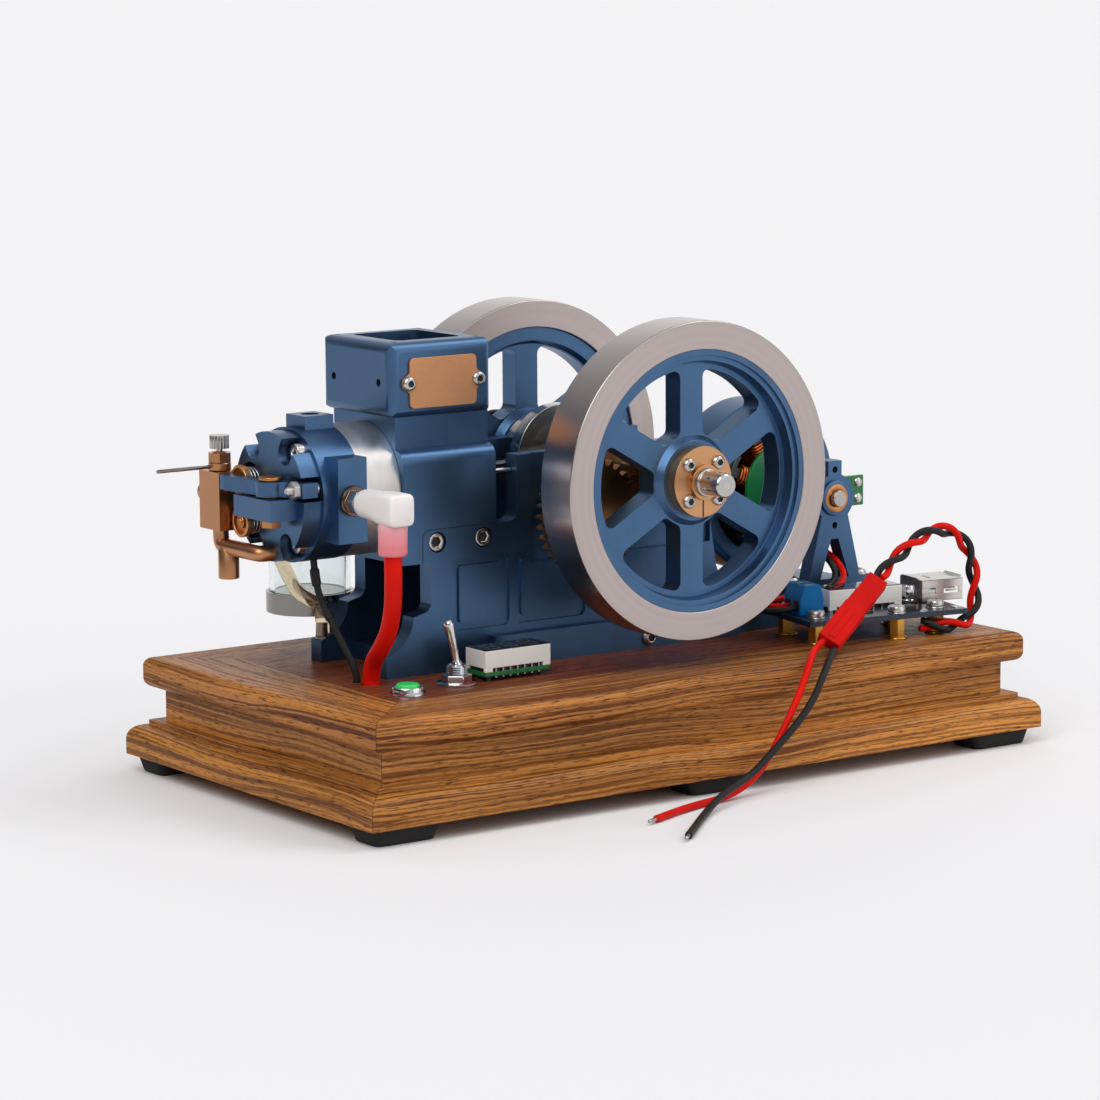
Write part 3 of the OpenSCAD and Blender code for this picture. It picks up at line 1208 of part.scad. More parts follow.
module toggle_switch() color("silver") translate([toggle_at.x, toggle_at.y, top_z]) difference() {
  union() {
    linear_extrude(toggle_plate_t) round_box(toggle_plate, toggle_plate, 2);
    translate([0, 0, toggle_plate_t]) cylinder(r = toggle_nut_r, h = toggle_nut_h, $fn = 6);
    cylinder(r = toggle_bush_r, h = toggle_bush_h);
  }
  translate([0, 0, toggle_plate_t + toggle_nut_h + 0.5]) cylinder(r = toggle_ball_r + gap, h = 4);
}
module toggle_lever() color("silver") translate([toggle_at.x, toggle_at.y, toggle_pivot_z - toggle_ball_r])
  rotate([0, -toggle_lean, 0]) {
    sphere(toggle_ball_r, $fn = 32);
    bar_y(0.5, -toggle_ball_r - 0.1, toggle_ball_r + 0.1, 0, 0);
    cylinder(r1 = 1, r2 = toggle_tip_r, h = toggle_l);
    translate([0, 0, toggle_l]) sphere(toggle_tip_r, $fn = 32);
  }
module button_bezel() color("gainsboro") translate([button_at.x, button_at.y, top_z]) difference() {
  union() {
    cylinder(r = button_r, h = bezel_t);
    cylinder(r = button_r - bezel_step, h = bezel_t + 1);
  }
  translate([0, 0, 0.4]) cylinder(r = button_r - 2 * bezel_step, h = 3);
}
module button_cap() color("lime") translate([button_at.x, button_at.y, top_z + 0.5 + button_travel])
  cylinder(r = button_r - 2 * bezel_step - gap, h = 1.4);
module voltmeter() color("white") translate([meter_at.x, meter_at.y, top_z]) {
  translate([0.6, 0.4, meter_leg]) cube([meter_l - 1.2, meter_w - 0.8, meter_board_t]);
  translate([0, 0, meter_leg + meter_board_t - 0.1]) cube([meter_l, meter_w, meter_h]);
  for (x = [2, meter_l - 2], y = [2, meter_w - 2]) translate([x, y, 0]) cylinder(r = meter_leg_r, h = 2);
}
module on_board() translate([board_at.x, board_at.y, board_z]) rotate(board_turn) children();
module charger_board() color("midnightblue") on_board() difference() {
  translate([0.5, -1.5, board_t / 2]) cube([board_l, board_w, board_t], center = true);
  for (s = standoffs) translate([s.x, s.y, -1]) cylinder(r = board_screw_r, h = 4);
}
module board_standoffs() color("goldenrod") on_board() for (s = standoffs) translate([s.x, s.y, 0]) {
  translate([0, 0, -standoff_h]) cylinder(r = standoff_r, h = standoff_h, $fn = 6);
  cylinder(r = board_screw_r, h = board_t);
  translate([0, 0, board_t]) cylinder(r = standoff_r, h = board_head_h);
}
module board_parts() color("royalblue") on_board() translate([0, 0, board_t]) {
  translate([-20, 0, terminal.z / 2]) cube(terminal, center = true);
  translate([0, 2.6, display.z / 2]) cube(display, center = true);
  translate([27, 5, socket.z / 2]) difference() {
    cube(socket, center = true);
    difference() {
      translate([3, 0, 0]) cube(socket - [0, 1, 1] * 2 * socket_wall, center = true);
      translate([-1, 0, 1]) cube(tongue, center = true);
    }
  }
}
module red_lead() color("red") {
  tube(pair_points(0), lead_r, 8);
  tube(red_route, lead_r, 8);
}
module black_lead() color([0.1, 0.1, 0.1]) {
  tube(pair_points(180), lead_r, 8);
  tube(black_route, lead_r, 8);
}
module lead_connector() color("red") difference() {
  d = plug_high - plug_low;
  translate(plug_low) rotate([0, 0, atan2(d.y, d.x)]) rotate([0, -asin(d.z / norm(d)), 0]) rotate([38, 0, 0])
    translate([norm(d) / 2, 0, 0]) cube([norm(d), plug_w, plug_t], center = true);
  for (p = [pair_points(0), pair_points(180), red_route, black_route]) along(p[0], p[1], lead_r + run);
}

echo(spring_gap = self_gap(spring_points(0, 0), spring_wire_r, 8));
echo(coil_gap = self_gap(coil_path, coil_r, coil_rings));
module place() translate([shift_x, 0, 0]) children();
place() plinth_base();
place() plinth_top();
place() plinth_inlay();
place() rubber_feet();
place() bed_plate();
place() front_side_plate();
place() rear_side_plate();
place() machine_screws();
place() bearings();
place() cylinder_block();
place() cylinder_barrel();
place() cylinder_head();
place() head_cover();
place() nameplate();
place() carburettor();
place() mixture_needle();
place() choke_lever();
place() fuel_cup();
place() fuel_cup_caps();
place() fuel_hose();
place() spark_plug();
place() plug_boot();
place() ignition_lead();
place() sensor_lead();
place() rocker_arm();
place() rocker_pivot();
place() rocker_adjuster();
place() pushrod();
place() exhaust_valve();
place() exhaust_spring();
place() intake_valve();
place() intake_spring();
place() piston();
place() rod_pins();
place() connecting_rod();
place() crankshaft();
place() crank_gear();
place() cam_gear();
place() flywheel_rims();
place() flywheel_spiders();
place() flywheel_hubs();
place() hub_screws();
place() drive_belt();
place() generator_stand();
place() generator_stator();
place() generator_coils();
place() generator_board();
place() generator_bell();
place() generator_shaft();
place() toggle_switch();
place() toggle_lever();
place() button_bezel();
place() button_cap();
place() voltmeter();
place() charger_board();
place() board_standoffs();
place() board_parts();
place() red_lead();
place() black_lead();
place() lead_connector();
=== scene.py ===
"""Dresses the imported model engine: finishes, wound and soft pieces, small electrics, floor, light and camera.

Lengths are millimetres of the part's own drawing where no other unit is named. Points that mm() or route() has
placed are metres in the shared frame.
"""

import json
import logging
import math
from dataclasses import dataclass
from enum import Enum
from typing import Sequence

import bmesh
import bpy
import numpy as np
from mathutils import Matrix, Vector

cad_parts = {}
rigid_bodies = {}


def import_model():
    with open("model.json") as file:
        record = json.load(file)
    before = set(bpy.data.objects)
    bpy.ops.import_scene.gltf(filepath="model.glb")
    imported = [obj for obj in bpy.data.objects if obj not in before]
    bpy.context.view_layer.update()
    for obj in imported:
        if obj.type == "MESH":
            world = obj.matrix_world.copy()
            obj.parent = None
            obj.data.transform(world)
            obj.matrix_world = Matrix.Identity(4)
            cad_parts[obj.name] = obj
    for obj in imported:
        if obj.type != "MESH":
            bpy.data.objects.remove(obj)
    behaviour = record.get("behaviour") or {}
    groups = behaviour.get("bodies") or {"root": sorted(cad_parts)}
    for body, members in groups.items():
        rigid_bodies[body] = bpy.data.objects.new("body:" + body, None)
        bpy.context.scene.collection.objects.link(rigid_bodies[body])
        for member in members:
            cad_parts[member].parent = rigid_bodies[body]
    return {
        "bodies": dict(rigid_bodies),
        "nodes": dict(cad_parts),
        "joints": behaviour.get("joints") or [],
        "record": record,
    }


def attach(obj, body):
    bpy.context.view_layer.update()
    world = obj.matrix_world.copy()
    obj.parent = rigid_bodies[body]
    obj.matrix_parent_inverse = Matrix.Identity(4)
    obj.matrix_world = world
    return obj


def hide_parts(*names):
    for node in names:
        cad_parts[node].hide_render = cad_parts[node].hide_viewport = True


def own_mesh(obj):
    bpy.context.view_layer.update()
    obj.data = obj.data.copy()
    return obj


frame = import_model()

LOG = logging.getLogger("engine")
MM = 0.001
SHIFT_X = 4.75  # from the drawing's origin to the shared frame's
DECK = 34.0  # height of the plinth's top
CRANK_X, CRANK_Z = 0.5, 88.4
ROTOR_X, ROTOR_Z = 84.2, 71.7
PLUG_X, PLUG_Z, LEG_Y = -91.2, 86.4, -34.0  # the spark plug's axis, and the leg of its boot
HUB_FACES = (("front", -54.8, -1), ("rear", 44.3, 1))  # name, place along Y and the way that it looks
EAST, NORTH, UP = np.eye(3)
SOUTH = np.array([0, -1.0, 0])

Array = np.ndarray
Colour = tuple[float, float, float]
Point = tuple[float, float, float]
Rows = Sequence[Sequence[float]]
Piece = bpy.types.Object
Socket = bpy.types.NodeSocket


def srgb(code: str) -> Colour:
    """Turns a code of six hexadecimal digits into a linear colour."""
    v = np.array([int(code[i:i + 2], 16) for i in (0, 2, 4)]) / 255.0
    return tuple(np.where(v <= 0.04045, v / 12.92, ((v + 0.055) / 1.055) ** 2.4).tolist())


def route(points: Rows) -> Array:
    """Points of the drawing as metres in the shared frame."""
    return (np.array(points, float) + [SHIFT_X, 0, 0]) * MM


def mm(*point: float) -> Array:
    """One point of the drawing as metres in the shared frame."""
    return route(point)


@dataclass
class Tree:
    """Adds and links the nodes of one shader tree.

    Attributes:
        tree: The node tree to fill.
    """

    tree: bpy.types.NodeTree

    def fill(self, node: bpy.types.Node, inputs: dict) -> None:
        """Sets a node's inputs.

        Args:
            node: The node.
            inputs: Socket name or number to a value, or to the output that drives it.
        """
        for key, value in inputs.items():
            if isinstance(value, Socket):
                self.tree.links.new(value, node.inputs[key])
            else:
                node.inputs[key].default_value = value

    def add(self, kind: str, inputs: dict | None = None, **settings: object) -> bpy.types.Node:
        """Adds a node of a kind, with its settings, and fills its inputs."""
        node = self.tree.nodes.new("ShaderNode" + kind)
        for key, value in settings.items():
            setattr(node, key, value)
        self.fill(node, inputs or {})
        return node

    def group(self, name: str, **inputs: object) -> bpy.types.bpy_prop_collection:
        """Places a shared node group, sets its inputs and returns its outputs."""
        return self.add("Group", inputs, node_tree=bpy.data.node_groups[name]).outputs

    def math(self, op: str, a: object, b: object = 0.0) -> Socket:
        """Adds a Math node and returns its value."""
        return self.add("Math", {0: a, 1: b}, operation=op).outputs[0]

    def times(self, a: object, b: object) -> Socket:
        """a * b."""
        return self.math("MULTIPLY", a, b)

    def plus(self, a: object, b: object) -> Socket:
        """a + b."""
        return self.math("ADD", a, b)

    def minus(self, a: object, b: object) -> Socket:
        """a - b."""
        return self.math("SUBTRACT", a, b)

    def vector(self, op: str, a: object, b: object = (0.0, 0.0, 0.0)) -> Socket:
        """Adds a Vector Math node and returns its vector; for a length or a dot product, its value."""
        node = self.add("VectorMath", {0: a, 1: b}, operation=op)
        return node.outputs["Value" if op in ("LENGTH", "DOT_PRODUCT") else "Vector"]

    def combine(self, x: object, y: object, z: object = 0.0) -> Socket:
        """A vector of three values."""
        return self.add("CombineXYZ", {0: x, 1: y, 2: z}).outputs[0]

    def separate(self, vector: Socket) -> bpy.types.bpy_prop_collection:
        """The three values of a vector."""
        return self.add("SeparateXYZ", {0: vector}).outputs

    def place(self) -> Socket:
        """The place on the object."""
        return self.add("TexCoord").outputs["Object"]

    def noise(self, vector: Socket, scale: object, detail: float) -> Socket:
        """Adds a Noise Texture and returns its value."""
        return self.add("TexNoise", {"Vector": vector, "Scale": scale, "Detail": detail}).outputs[0]

    def span(self, value: Socket, low: float, high: float, to_low: float = 0.0, to_high: float = 1.0) -> Socket:
        """Maps a value from low and high to the other two numbers, and holds it between them."""
        return self.add("MapRange", {0: value, 1: low, 2: high, 3: to_low, 4: to_high}).outputs[0]

    def blend(self, share: Socket, a: object, b: object) -> Socket:
        """Mixes two values."""
        return self.add("Mix", {0: share, 2: a, 3: b}, data_type="FLOAT").outputs[0]

    def mix(self, share: Socket, *pair: object) -> Socket:
        """Mixes two colours."""
        a, b = (v if isinstance(v, Socket) else (*v, 1.0) for v in pair)
        return self.add("Mix", {0: share, 6: a, 7: b}, data_type="RGBA").outputs[2]

    def ramp(self, share: Socket, stops: Sequence[tuple[float, Colour]]) -> Socket:
        """Adds a Color Ramp through places and their colours."""
        node = self.add("ValToRGB", {0: share})
        bands = node.color_ramp.elements
        while len(bands) < len(stops):
            bands.new(0.5)
        for band, (place, colour) in zip(bands, stops):
            band.position = place
            band.color = (*colour, 1.0)
        return node.outputs[0]

    def bump(self, height: Socket, strength: float, depth: float) -> Socket:
        """A normal from a height; the depth is in metres."""
        return self.add("Bump", {"Strength": strength, "Distance": depth, "Height": height}).outputs[0]


def new_group(name: str, inputs: dict, outputs: dict[str, str]) -> tuple[Tree, dict, bpy.types.Node]:
    """Makes an empty shader node group.

    Args:
        name: The group's name.
        inputs: Socket name to its default: a number, a vector of three values or a colour of four.
        outputs: Socket name to its kind.

    Returns:
        The tree helper, the input sockets by name and the output node.
    """
    tree = bpy.data.node_groups.new(name, "ShaderNodeTree")
    for key, value in inputs.items():
        kind = {3: "Vector", 4: "Color"}[len(value)] if isinstance(value, tuple) else "Float"
        socket = tree.interface.new_socket(key, in_out="INPUT", socket_type="NodeSocket" + kind)
        socket.default_value = value
    for key, kind in outputs.items():
        tree.interface.new_socket(key, in_out="OUTPUT", socket_type="NodeSocket" + kind)
    source = tree.nodes.new("NodeGroupInput")
    return Tree(tree), {s.name: s for s in source.outputs}, tree.nodes.new("NodeGroupOutput")


def build_grain() -> None:
    """Builds the wood: noise over the depth of growth layers, 0.72 z + 0.5 across + bow + wave, with pores."""
    white = (1.0, 1.0, 1.0, 1.0)
    t, i, out = new_group("Grain", {"Light": white, "Dark": white, "Line": white, "Half Length": 0.12,
                                    "Half Width": 0.066, "Mitred": 1.0, "Pitch": 1.0, "Seed": 0.0},
                          {"Color": "Color", "Height": "Float", "Roughness": "Float"})
    xyz = t.separate(t.place())
    x, y, z = t.minus(xyz[0], SHIFT_X * MM), xyz[1], t.times(xyz[2], 1 / MM)
    end = t.minus(i["Half Length"], t.math("ABSOLUTE", x))
    side = t.minus(i["Half Width"], t.math("ABSOLUTE", y))
    turned = t.times(t.math("LESS_THAN", end, side), i["Mitred"])
    along = t.times(t.blend(turned, x, y), 1 / MM)
    across = t.times(t.blend(turned, y, x), 1 / MM)
    seed = t.plus(i["Seed"], t.times(turned, 3.7))

    def streaks(run: float, wide: float, detail: float) -> Socket:
        """A noise drawn out along the grain; run and wide are its turns per millimetre."""
        start = t.plus(t.times(along, run), seed)
        return t.noise(t.combine(start, t.times(across, wide), t.times(z, wide)), 1.0, detail)

    bow = t.times(t.minus(streaks(0.009, 0.012, 1.0), 0.5), 9.0)
    wave = t.times(t.minus(streaks(0.05, 0.1, 2.0), 0.5), 1.1)
    depth = t.plus(t.plus(t.times(z, 0.72), t.times(across, 0.5)), t.plus(bow, wave))

    def layers(pitch: float, run: float, detail: float) -> Socket:
        """A noise over the depth of the growth layers; pitch and run are its turns per millimetre."""
        deep = t.times(t.times(depth, pitch), i["Pitch"])
        return t.noise(t.combine(deep, t.times(along, run), seed), 1.0, detail)

    thin = t.span(layers(1.9, 0.012, 1.0), 0.4, 0.58)
    broad = t.span(layers(0.22, 0.006, 2.0), 0.34, 0.66)
    tone = t.plus(t.times(thin, 0.66), t.times(broad, 0.34))
    pores = t.span(streaks(0.24, 3.1, 2.0), 0.55, 0.68)
    cloud = t.span(streaks(0.012, 0.035, 2.0), 0.3, 0.7, 0.8, 1.12)
    wood = t.mix(t.times(pores, 0.8), t.mix(tone, i["Dark"], i["Light"]), i["Line"])
    wood = t.add("VectorMath", {0: wood, "Scale": cloud}, operation="SCALE").outputs[0]
    joint = t.math("LESS_THAN", t.math("ABSOLUTE", t.minus(end, side)), 0.0002)
    wood = t.mix(t.times(t.times(joint, i["Mitred"]), 0.5), wood, i["Line"])
    t.fill(out, {"Color": wood, "Height": t.minus(t.times(tone, 0.4), t.times(pores, 0.6)),
                 "Roughness": t.plus(0.4, t.times(pores, 0.25))})


def build_turning() -> None:
    """Builds the marks of a lathe: noise over the radius and the depth about an axis along Y."""
    t, i, out = new_group("Turning", {"Centre": (0.0, 0.0, 0.0)},
                          {"Height": "Float", "Streak": "Float", "Radius": "Float"})
    local = t.vector("SUBTRACT", t.place(), i["Centre"])
    radius = t.vector("LENGTH", t.vector("MULTIPLY", local, (1.0, 0.0, 1.0)))
    deep = t.separate(local)[1]

    def marks(close: float, detail: float) -> Socket:
        """A noise with that many turns per metre."""
        return t.noise(t.combine(t.times(radius, close), t.times(deep, close)), 1.0, detail)

    t.fill(out, {"Height": marks(4200.0, 2.0), "Streak": marks(500.0, 3.0), "Radius": radius})


def build_mottle() -> None:
    """Builds fine spots and broad clouds."""
    t, i, out = new_group("Mottle", {"Scale": 1.0, "Stretch": (1.0, 1.0, 1.0)}, {"Fine": "Float", "Cloud": "Float"})
    place = t.vector("MULTIPLY", t.place(), i["Stretch"])
    t.fill(out, {"Fine": t.noise(place, t.times(i["Scale"], 2400.0), 2.0),
                 "Cloud": t.noise(place, t.times(i["Scale"], 60.0), 4.0)})


@dataclass(frozen=True)
class Finish:
    """A finish with a colour; each kind builds its own material once.

    Attributes:
        name: The material's name.
        slot: The record's slot that it stands for; not used.
        code: The main colour's code.
        rough: The plain roughness.
    """

    name: str
    slot: str
    code: str
    rough: float = 0.4

    @property
    def colour(self) -> Colour:
        """The main colour."""
        return srgb(self.code)

    def material(self) -> bpy.types.Material:
        """Returns the material, made on first use."""
        mat = bpy.data.materials.get(self.name)
        if not mat:
            mat = bpy.data.materials.new(self.name)
            mat.use_nodes = True
            mat.diffuse_color = (*self.colour, 1.0)
            t, shader = Tree(mat.node_tree), mat.node_tree.nodes["Principled BSDF"]
            t.fill(shader, {"Base Color": (*self.colour, 1.0), "Roughness": self.rough})
            t.fill(shader, self.sockets(t))
        return mat

    def sockets(self, t: Tree) -> dict:
        """What the shader gets: here a faint mottling.

        Args:
            t: The material's node helper.

        Returns:
            Names of the shader's inputs to values or outputs.
        """
        return self.mottled(t, 0.8, 0.12, 0.04)

    def mottled(self, t: Tree, dark: float, spread: float, fine: float, stretch: Point = (1.0, 1.0, 1.0)) -> dict:
        """Mottled colour, roughness and surface; dark is the share of the colour that the dark clouds keep."""
        spots = t.group("Mottle", Stretch=stretch)
        return {"Base Color": self.shade(t, spots["Cloud"], dark), "Roughness": self.vary(t, spots["Cloud"], spread),
                "Normal": t.bump(spots["Fine"], fine, 0.00005)}

    def shade(self, t: Tree, mask: Socket, dark: float) -> Socket:
        """The colour, darkened by a cloudy mask to a share of itself."""
        return t.mix(t.span(mask, 0.35, 0.65), tuple(c * dark for c in self.colour), self.colour)

    def vary(self, t: Tree, mask: Socket, spread: float) -> Socket:
        """The roughness, spread round its plain value by a cloudy mask."""
        return t.span(mask, 0.25, 0.75, max(0.02, self.rough - spread / 2), self.rough + spread / 2)


@dataclass(frozen=True)
class Wood(Finish):
    """Varnished wood with dark pores.

    Attributes:
        dark: Code of the darker bands.
        line: Code of the pores and joints.
        half: Half length and half width of the mitred frame, in metres.
        mitred: 1 where the grain turns at the corners.
        pitch: How close the grain lines lie.
        seed: Shifts the pattern.
    """

    dark: str = "000000"
    line: str = "000000"
    half: tuple[float, float] = (0.12, 0.0665)
    mitred: float = 1.0
    pitch: float = 1.0
    seed: float = 0.0

    def sockets(self, t: Tree) -> dict:
        """Colour, roughness and bump from the grain group, under a thin varnish."""
        light, dark, line = ((*srgb(code), 1.0) for code in (self.code, self.dark, self.line))
        grain = t.group("Grain", **{"Light": light, "Dark": dark, "Line": line, "Half Length": self.half[0],
                                    "Half Width": self.half[1], "Mitred": self.mitred, "Pitch": self.pitch,
                                    "Seed": self.seed})
        return {"Base Color": grain["Color"], "Roughness": grain["Roughness"],
                "Normal": t.bump(grain["Height"], 0.3, 0.00022), "Specular IOR Level": 0.16, "Coat Weight": 0.02,
                "Coat Roughness": 0.3}


@dataclass(frozen=True)
class Metal(Finish):
    """Bare or anodised metal with a fine satin surface.

    Attributes:
        metallic: How metallic the colour is.
        stretch: Stretch of the fine marks along each axis.
    """

    metallic: float = 1.0
    stretch: Point = (1.0, 1.0, 1.0)

    def sockets(self, t: Tree) -> dict:
        """Satin mottling on metal."""
        return {"Metallic": self.metallic, **self.mottled(t, 0.86, 0.1, 0.06, self.stretch)}


@dataclass(frozen=True)
class Speckled(Metal):
    """Matt copper sheet with fine dark specks.

    Attributes:
        speck: Code of the specks.
    """

    speck: str = "000000"

    def sockets(self, t: Tree) -> dict:
        """Specks over the cloudy metal."""
        spots = t.group("Mottle", Scale=0.8, Stretch=self.stretch)
        mask = t.span(spots["Fine"], 0.6, 0.72, 0.0, 0.5)
        tint = t.mix(mask, self.shade(t, spots["Cloud"], 0.84), srgb(self.speck))
        return {**super().sockets(t), "Base Color": tint}


@dataclass(frozen=True)
class Turned(Finish):
    """Metal turned on a lathe about the crankshaft's axis.

    Attributes:
        lines: Strength of the turning lines.
        depth: Share of the colour that the darker lines keep.
        outer: Radius beyond which the metal is smoother and cooler, in metres.
    """

    lines: float = 0.12
    depth: float = 0.82
    outer: float = 1.0

    def sockets(self, t: Tree) -> dict:
        """Colour, roughness and bump from concentric lines."""
        marks = t.group("Turning", Centre=tuple(mm(CRANK_X, 0, CRANK_Z).tolist()))
        edge = t.math("GREATER_THAN", marks["Radius"], self.outer)
        cool = tuple(c * k for c, k in zip(self.colour, (0.95, 0.97, 1.0)))
        rough = t.span(marks["Streak"], 0.0, 1.0, self.rough - 0.07, self.rough + 0.07)
        return {"Metallic": 1.0, "Base Color": t.mix(edge, self.shade(t, marks["Streak"], self.depth), cool),
                "Roughness": t.blend(edge, rough, 0.24), "Normal": t.bump(marks["Height"], self.lines, 0.00006),
                "Anisotropic": 0.3}


@dataclass(frozen=True)
class Clear(Finish):
    """Glass or a clear hose.

    Attributes:
        ior: The index of refraction.
        through: Share of the light that passes.
    """

    ior: float = 1.45
    through: float = 1.0

    def sockets(self, t: Tree) -> dict:
        """Light that passes, with faint smears in the gloss."""
        return {"Transmission Weight": self.through, "IOR": self.ior,
                "Roughness": self.vary(t, t.group("Mottle", Scale=0.6)["Cloud"], 0.04)}


@dataclass(frozen=True)
class Soft(Finish):
    """Plastic or rubber with an even grain.

    Attributes:
        coat: Weight of a clear coat.
        shine: Strength of the surface's own shine.
    """

    coat: float = 0.0
    shine: float = 0.35

    def sockets(self, t: Tree) -> dict:
        """A moulded grain."""
        return {**super().sockets(t), "Coat Weight": self.coat, "Specular IOR Level": self.shine}


@dataclass(frozen=True)
class Sleeve(Finish):
    """Milky plastic that turns from one colour to another with height.

    Attributes:
        upper: Code of the colour at the top.
        reach: Heights where the change starts and ends, in metres.
    """

    upper: str = "ffffff"
    reach: tuple[float, float] = (0.0, 1.0)

    def sockets(self, t: Tree) -> dict:
        """Two colours mixed by height, and light that scatters inside."""
        share = t.span(t.separate(t.place())[2], *self.reach)
        spots = t.group("Mottle", Scale=1.5)
        return {"Base Color": t.mix(share, self.colour, srgb(self.upper)),
                "Roughness": self.vary(t, spots["Cloud"], 0.1), "Normal": t.bump(spots["Fine"], 0.03, 0.00004),
                "Subsurface Weight": 0.7, "Subsurface Radius": (0.004, 0.003, 0.0025), "Subsurface Scale": 0.7}


@dataclass(frozen=True)
class Lit(Finish):
    """A cap lit from inside.

    Attributes:
        glow: Strength of the light.
    """

    glow: float = 1.0

    def sockets(self, t: Tree) -> dict:
        """A glow with a faint unevenness."""
        bright = tuple(min(1.0, c * 1.3 + 0.03) for c in self.colour)
        tint = t.mix(t.group("Mottle", Scale=2.0)["Cloud"], self.colour, bright)
        return {"Base Color": tint, "Emission Color": tint, "Emission Strength": self.glow}


class Palette(Enum):
    """The finishes of the object's pieces."""

    EDGE_WOOD = Wood("edge_wood", "wood_edge", "cb8841", 0.42, dark="61300b", line="271102")
    SLAB_WOOD = Wood("slab_wood", "wood_edge", "c07e3d", 0.42, dark="5b2b0b", line="241003", half=(0.116, 0.0625),
                     pitch=1.15, seed=5.0)
    INLAY_WOOD = Wood("inlay_wood", "wood_inlay", "8f4c2b", 0.4, dark="582713", line="270f06", mitred=0.0, pitch=0.9,
                      seed=11.0)
    BLUE = Metal("blue_anodised", "blue_metal", "4b6a8d", 0.35, metallic=0.92)
    STEEL = Metal("plain_steel", "bright_steel", "b9b6b3", 0.26)
    SCREW = Metal("screw_steel", "bright_steel", "c6c3c0", 0.27)
    RIM = Turned("rim_steel", "bright_steel", "b8adaa", 0.36, lines=0.07, depth=0.92, outer=0.0454)
    SHAFT = Turned("shaft_steel", "bright_steel", "c4c2c0", 0.2, lines=0.05)
    BARREL = Metal("barrel_steel", "bright_steel", "d6d3d1", 0.42, stretch=(4.0, 1.0, 1.0))
    BRONZE = Metal("bronze", "bronze", "c08c60", 0.3)
    GEAR = Metal("gear_bronze", "bronze", "976a42", 0.34)
    GASKET = Metal("gasket_bronze", "bronze", "7d6254", 0.24)
    HUB = Turned("hub_bronze", "bronze", "cc9a6e", 0.34, lines=0.08, depth=0.9)
    BRASS = Metal("brass", "brass", "b8874c", 0.28)
    CARB = Metal("carburettor_bronze", "brass", "c08a62", 0.33)
    PLATE = Speckled("copper_plate", "bronze", "cd9468", 0.48, metallic=0.6, stretch=(1.0, 1.0, 2.0), speck="8a5636")
    CUP = Metal("cup_steel", "bright_steel", "8a8684", 0.15)
    SHELL = Metal("socket_steel", "chrome", "dcd7d3", 0.34)
    CHROME = Metal("chrome", "chrome", "cfcdcb", 0.14)
    IRON = Metal("stator_iron", "dark_iron", "5c5c5e", 0.45)
    COPPER = Metal("copper_wire", "copper_wire", "c8662c", 0.28)
    SOLDER = Metal("solder", "chrome", "cdcac6", 0.3)
    RUBBER = Soft("black_rubber", "black_rubber", "171718", 0.7)
    BLACK = Soft("black_plastic", "black_plastic", "131315", 0.45)
    BLACK_WIRE = Soft("black_silicone", "black_plastic", "1a1919", 0.5, shine=0.25)
    GLOSS = Soft("display_glass", "black_plastic", "101216", 0.12, coat=0.5)
    DIGIT = Soft("unlit_digit", "black_plastic", "54565a", 0.3)
    RED = Soft("red_silicone", "red_plastic", "d8160b", 0.42, shine=0.08)
    CONNECTOR = Soft("red_connector", "red_plastic", "cc1713", 0.4, shine=0.06)
    PRINT = Soft("red_print", "red_plastic", "9c1a18", 0.4)
    WHITE = Soft("white_plastic", "white_plastic", "d6cfc9", 0.45)
    BOOT = Sleeve("boot_plastic", "boot_white", "dcd6d3", 0.4, upper="e4e1e0", reach=(0.08, 0.09))
    LEG = Sleeve("boot_leg_plastic", "boot_white", "de7d86", 0.4, upper="e2a9ac", reach=(0.076, 0.0825))
    HOSE = Clear("fuel_hose_plastic", "hose_tan", "e6d2b2", 0.08, ior=1.33, through=0.96)
    BOARD_GREEN = Soft("green_mask", "green_board", "18723d", 0.3, coat=0.3)
    BOARD_BLUE = Soft("blue_mask", "blue_board", "182338", 0.3, coat=0.3)
    TERMINAL = Soft("terminal_blue", "blue_plastic", "0672b8", 0.4, shine=0.2)
    GLASS = Clear("cup_glass", "clear_glass", "f4f8f8", 0.03)
    LENS = Lit("green_lens", "green_lens", "1ed048", 0.3, glow=0.45)


WIRES = (("red", Palette.RED), ("black", Palette.BLACK_WIRE))


def new_object(name: str, data: bpy.types.ID) -> Piece:
    """Puts a mesh, a camera or a lamp into the scene."""
    obj = bpy.data.objects.new(name, data)
    bpy.context.scene.collection.objects.link(obj)
    return obj


def mesh_object(name: str, points: Array, faces: Array | list, angle: float = 0.0) -> Piece:
    """Puts points and faces into a new object at the origin.

    Args:
        name: The object's name.
        points: Points in metres, along the last axis.
        faces: Point numbers of each face.
        angle: Largest angle in degrees that is shaded smooth; doubled points are then merged and faces turned
            outwards. With 0, all is shaded smooth as it is.

    Returns:
        The new object.
    """
    mesh = bpy.data.meshes.new(name)
    mesh.from_pydata(np.asarray(points, float).reshape(-1, 3).tolist(), [], [list(map(int, f)) for f in faces])
    mesh.update()
    if angle:
        bm = bmesh.new()
        bm.from_mesh(mesh)
        bmesh.ops.remove_doubles(bm, verts=bm.verts, dist=1e-7)
        bmesh.ops.recalc_face_normals(bm, faces=bm.faces)
        bm.to_mesh(mesh)
        bm.free()
    mesh.shade_smooth()
    if angle:
        mesh.set_sharp_from_angle(angle=math.radians(angle))
    return new_object(name, mesh)


def grid_faces(rows: int, cols: int, wrap: bool) -> Array:
    """Quads of a grid of points, as rows of four point numbers; with wrap, each row of points closes on itself."""
    r, c = np.meshgrid(np.arange(rows - 1), np.arange(cols if wrap else cols - 1), indexing="ij")
    a, b = r * cols + c, r * cols + (c + 1) % cols
    return np.stack([a, b, b + cols, a + cols], -1).reshape(-1, 4)


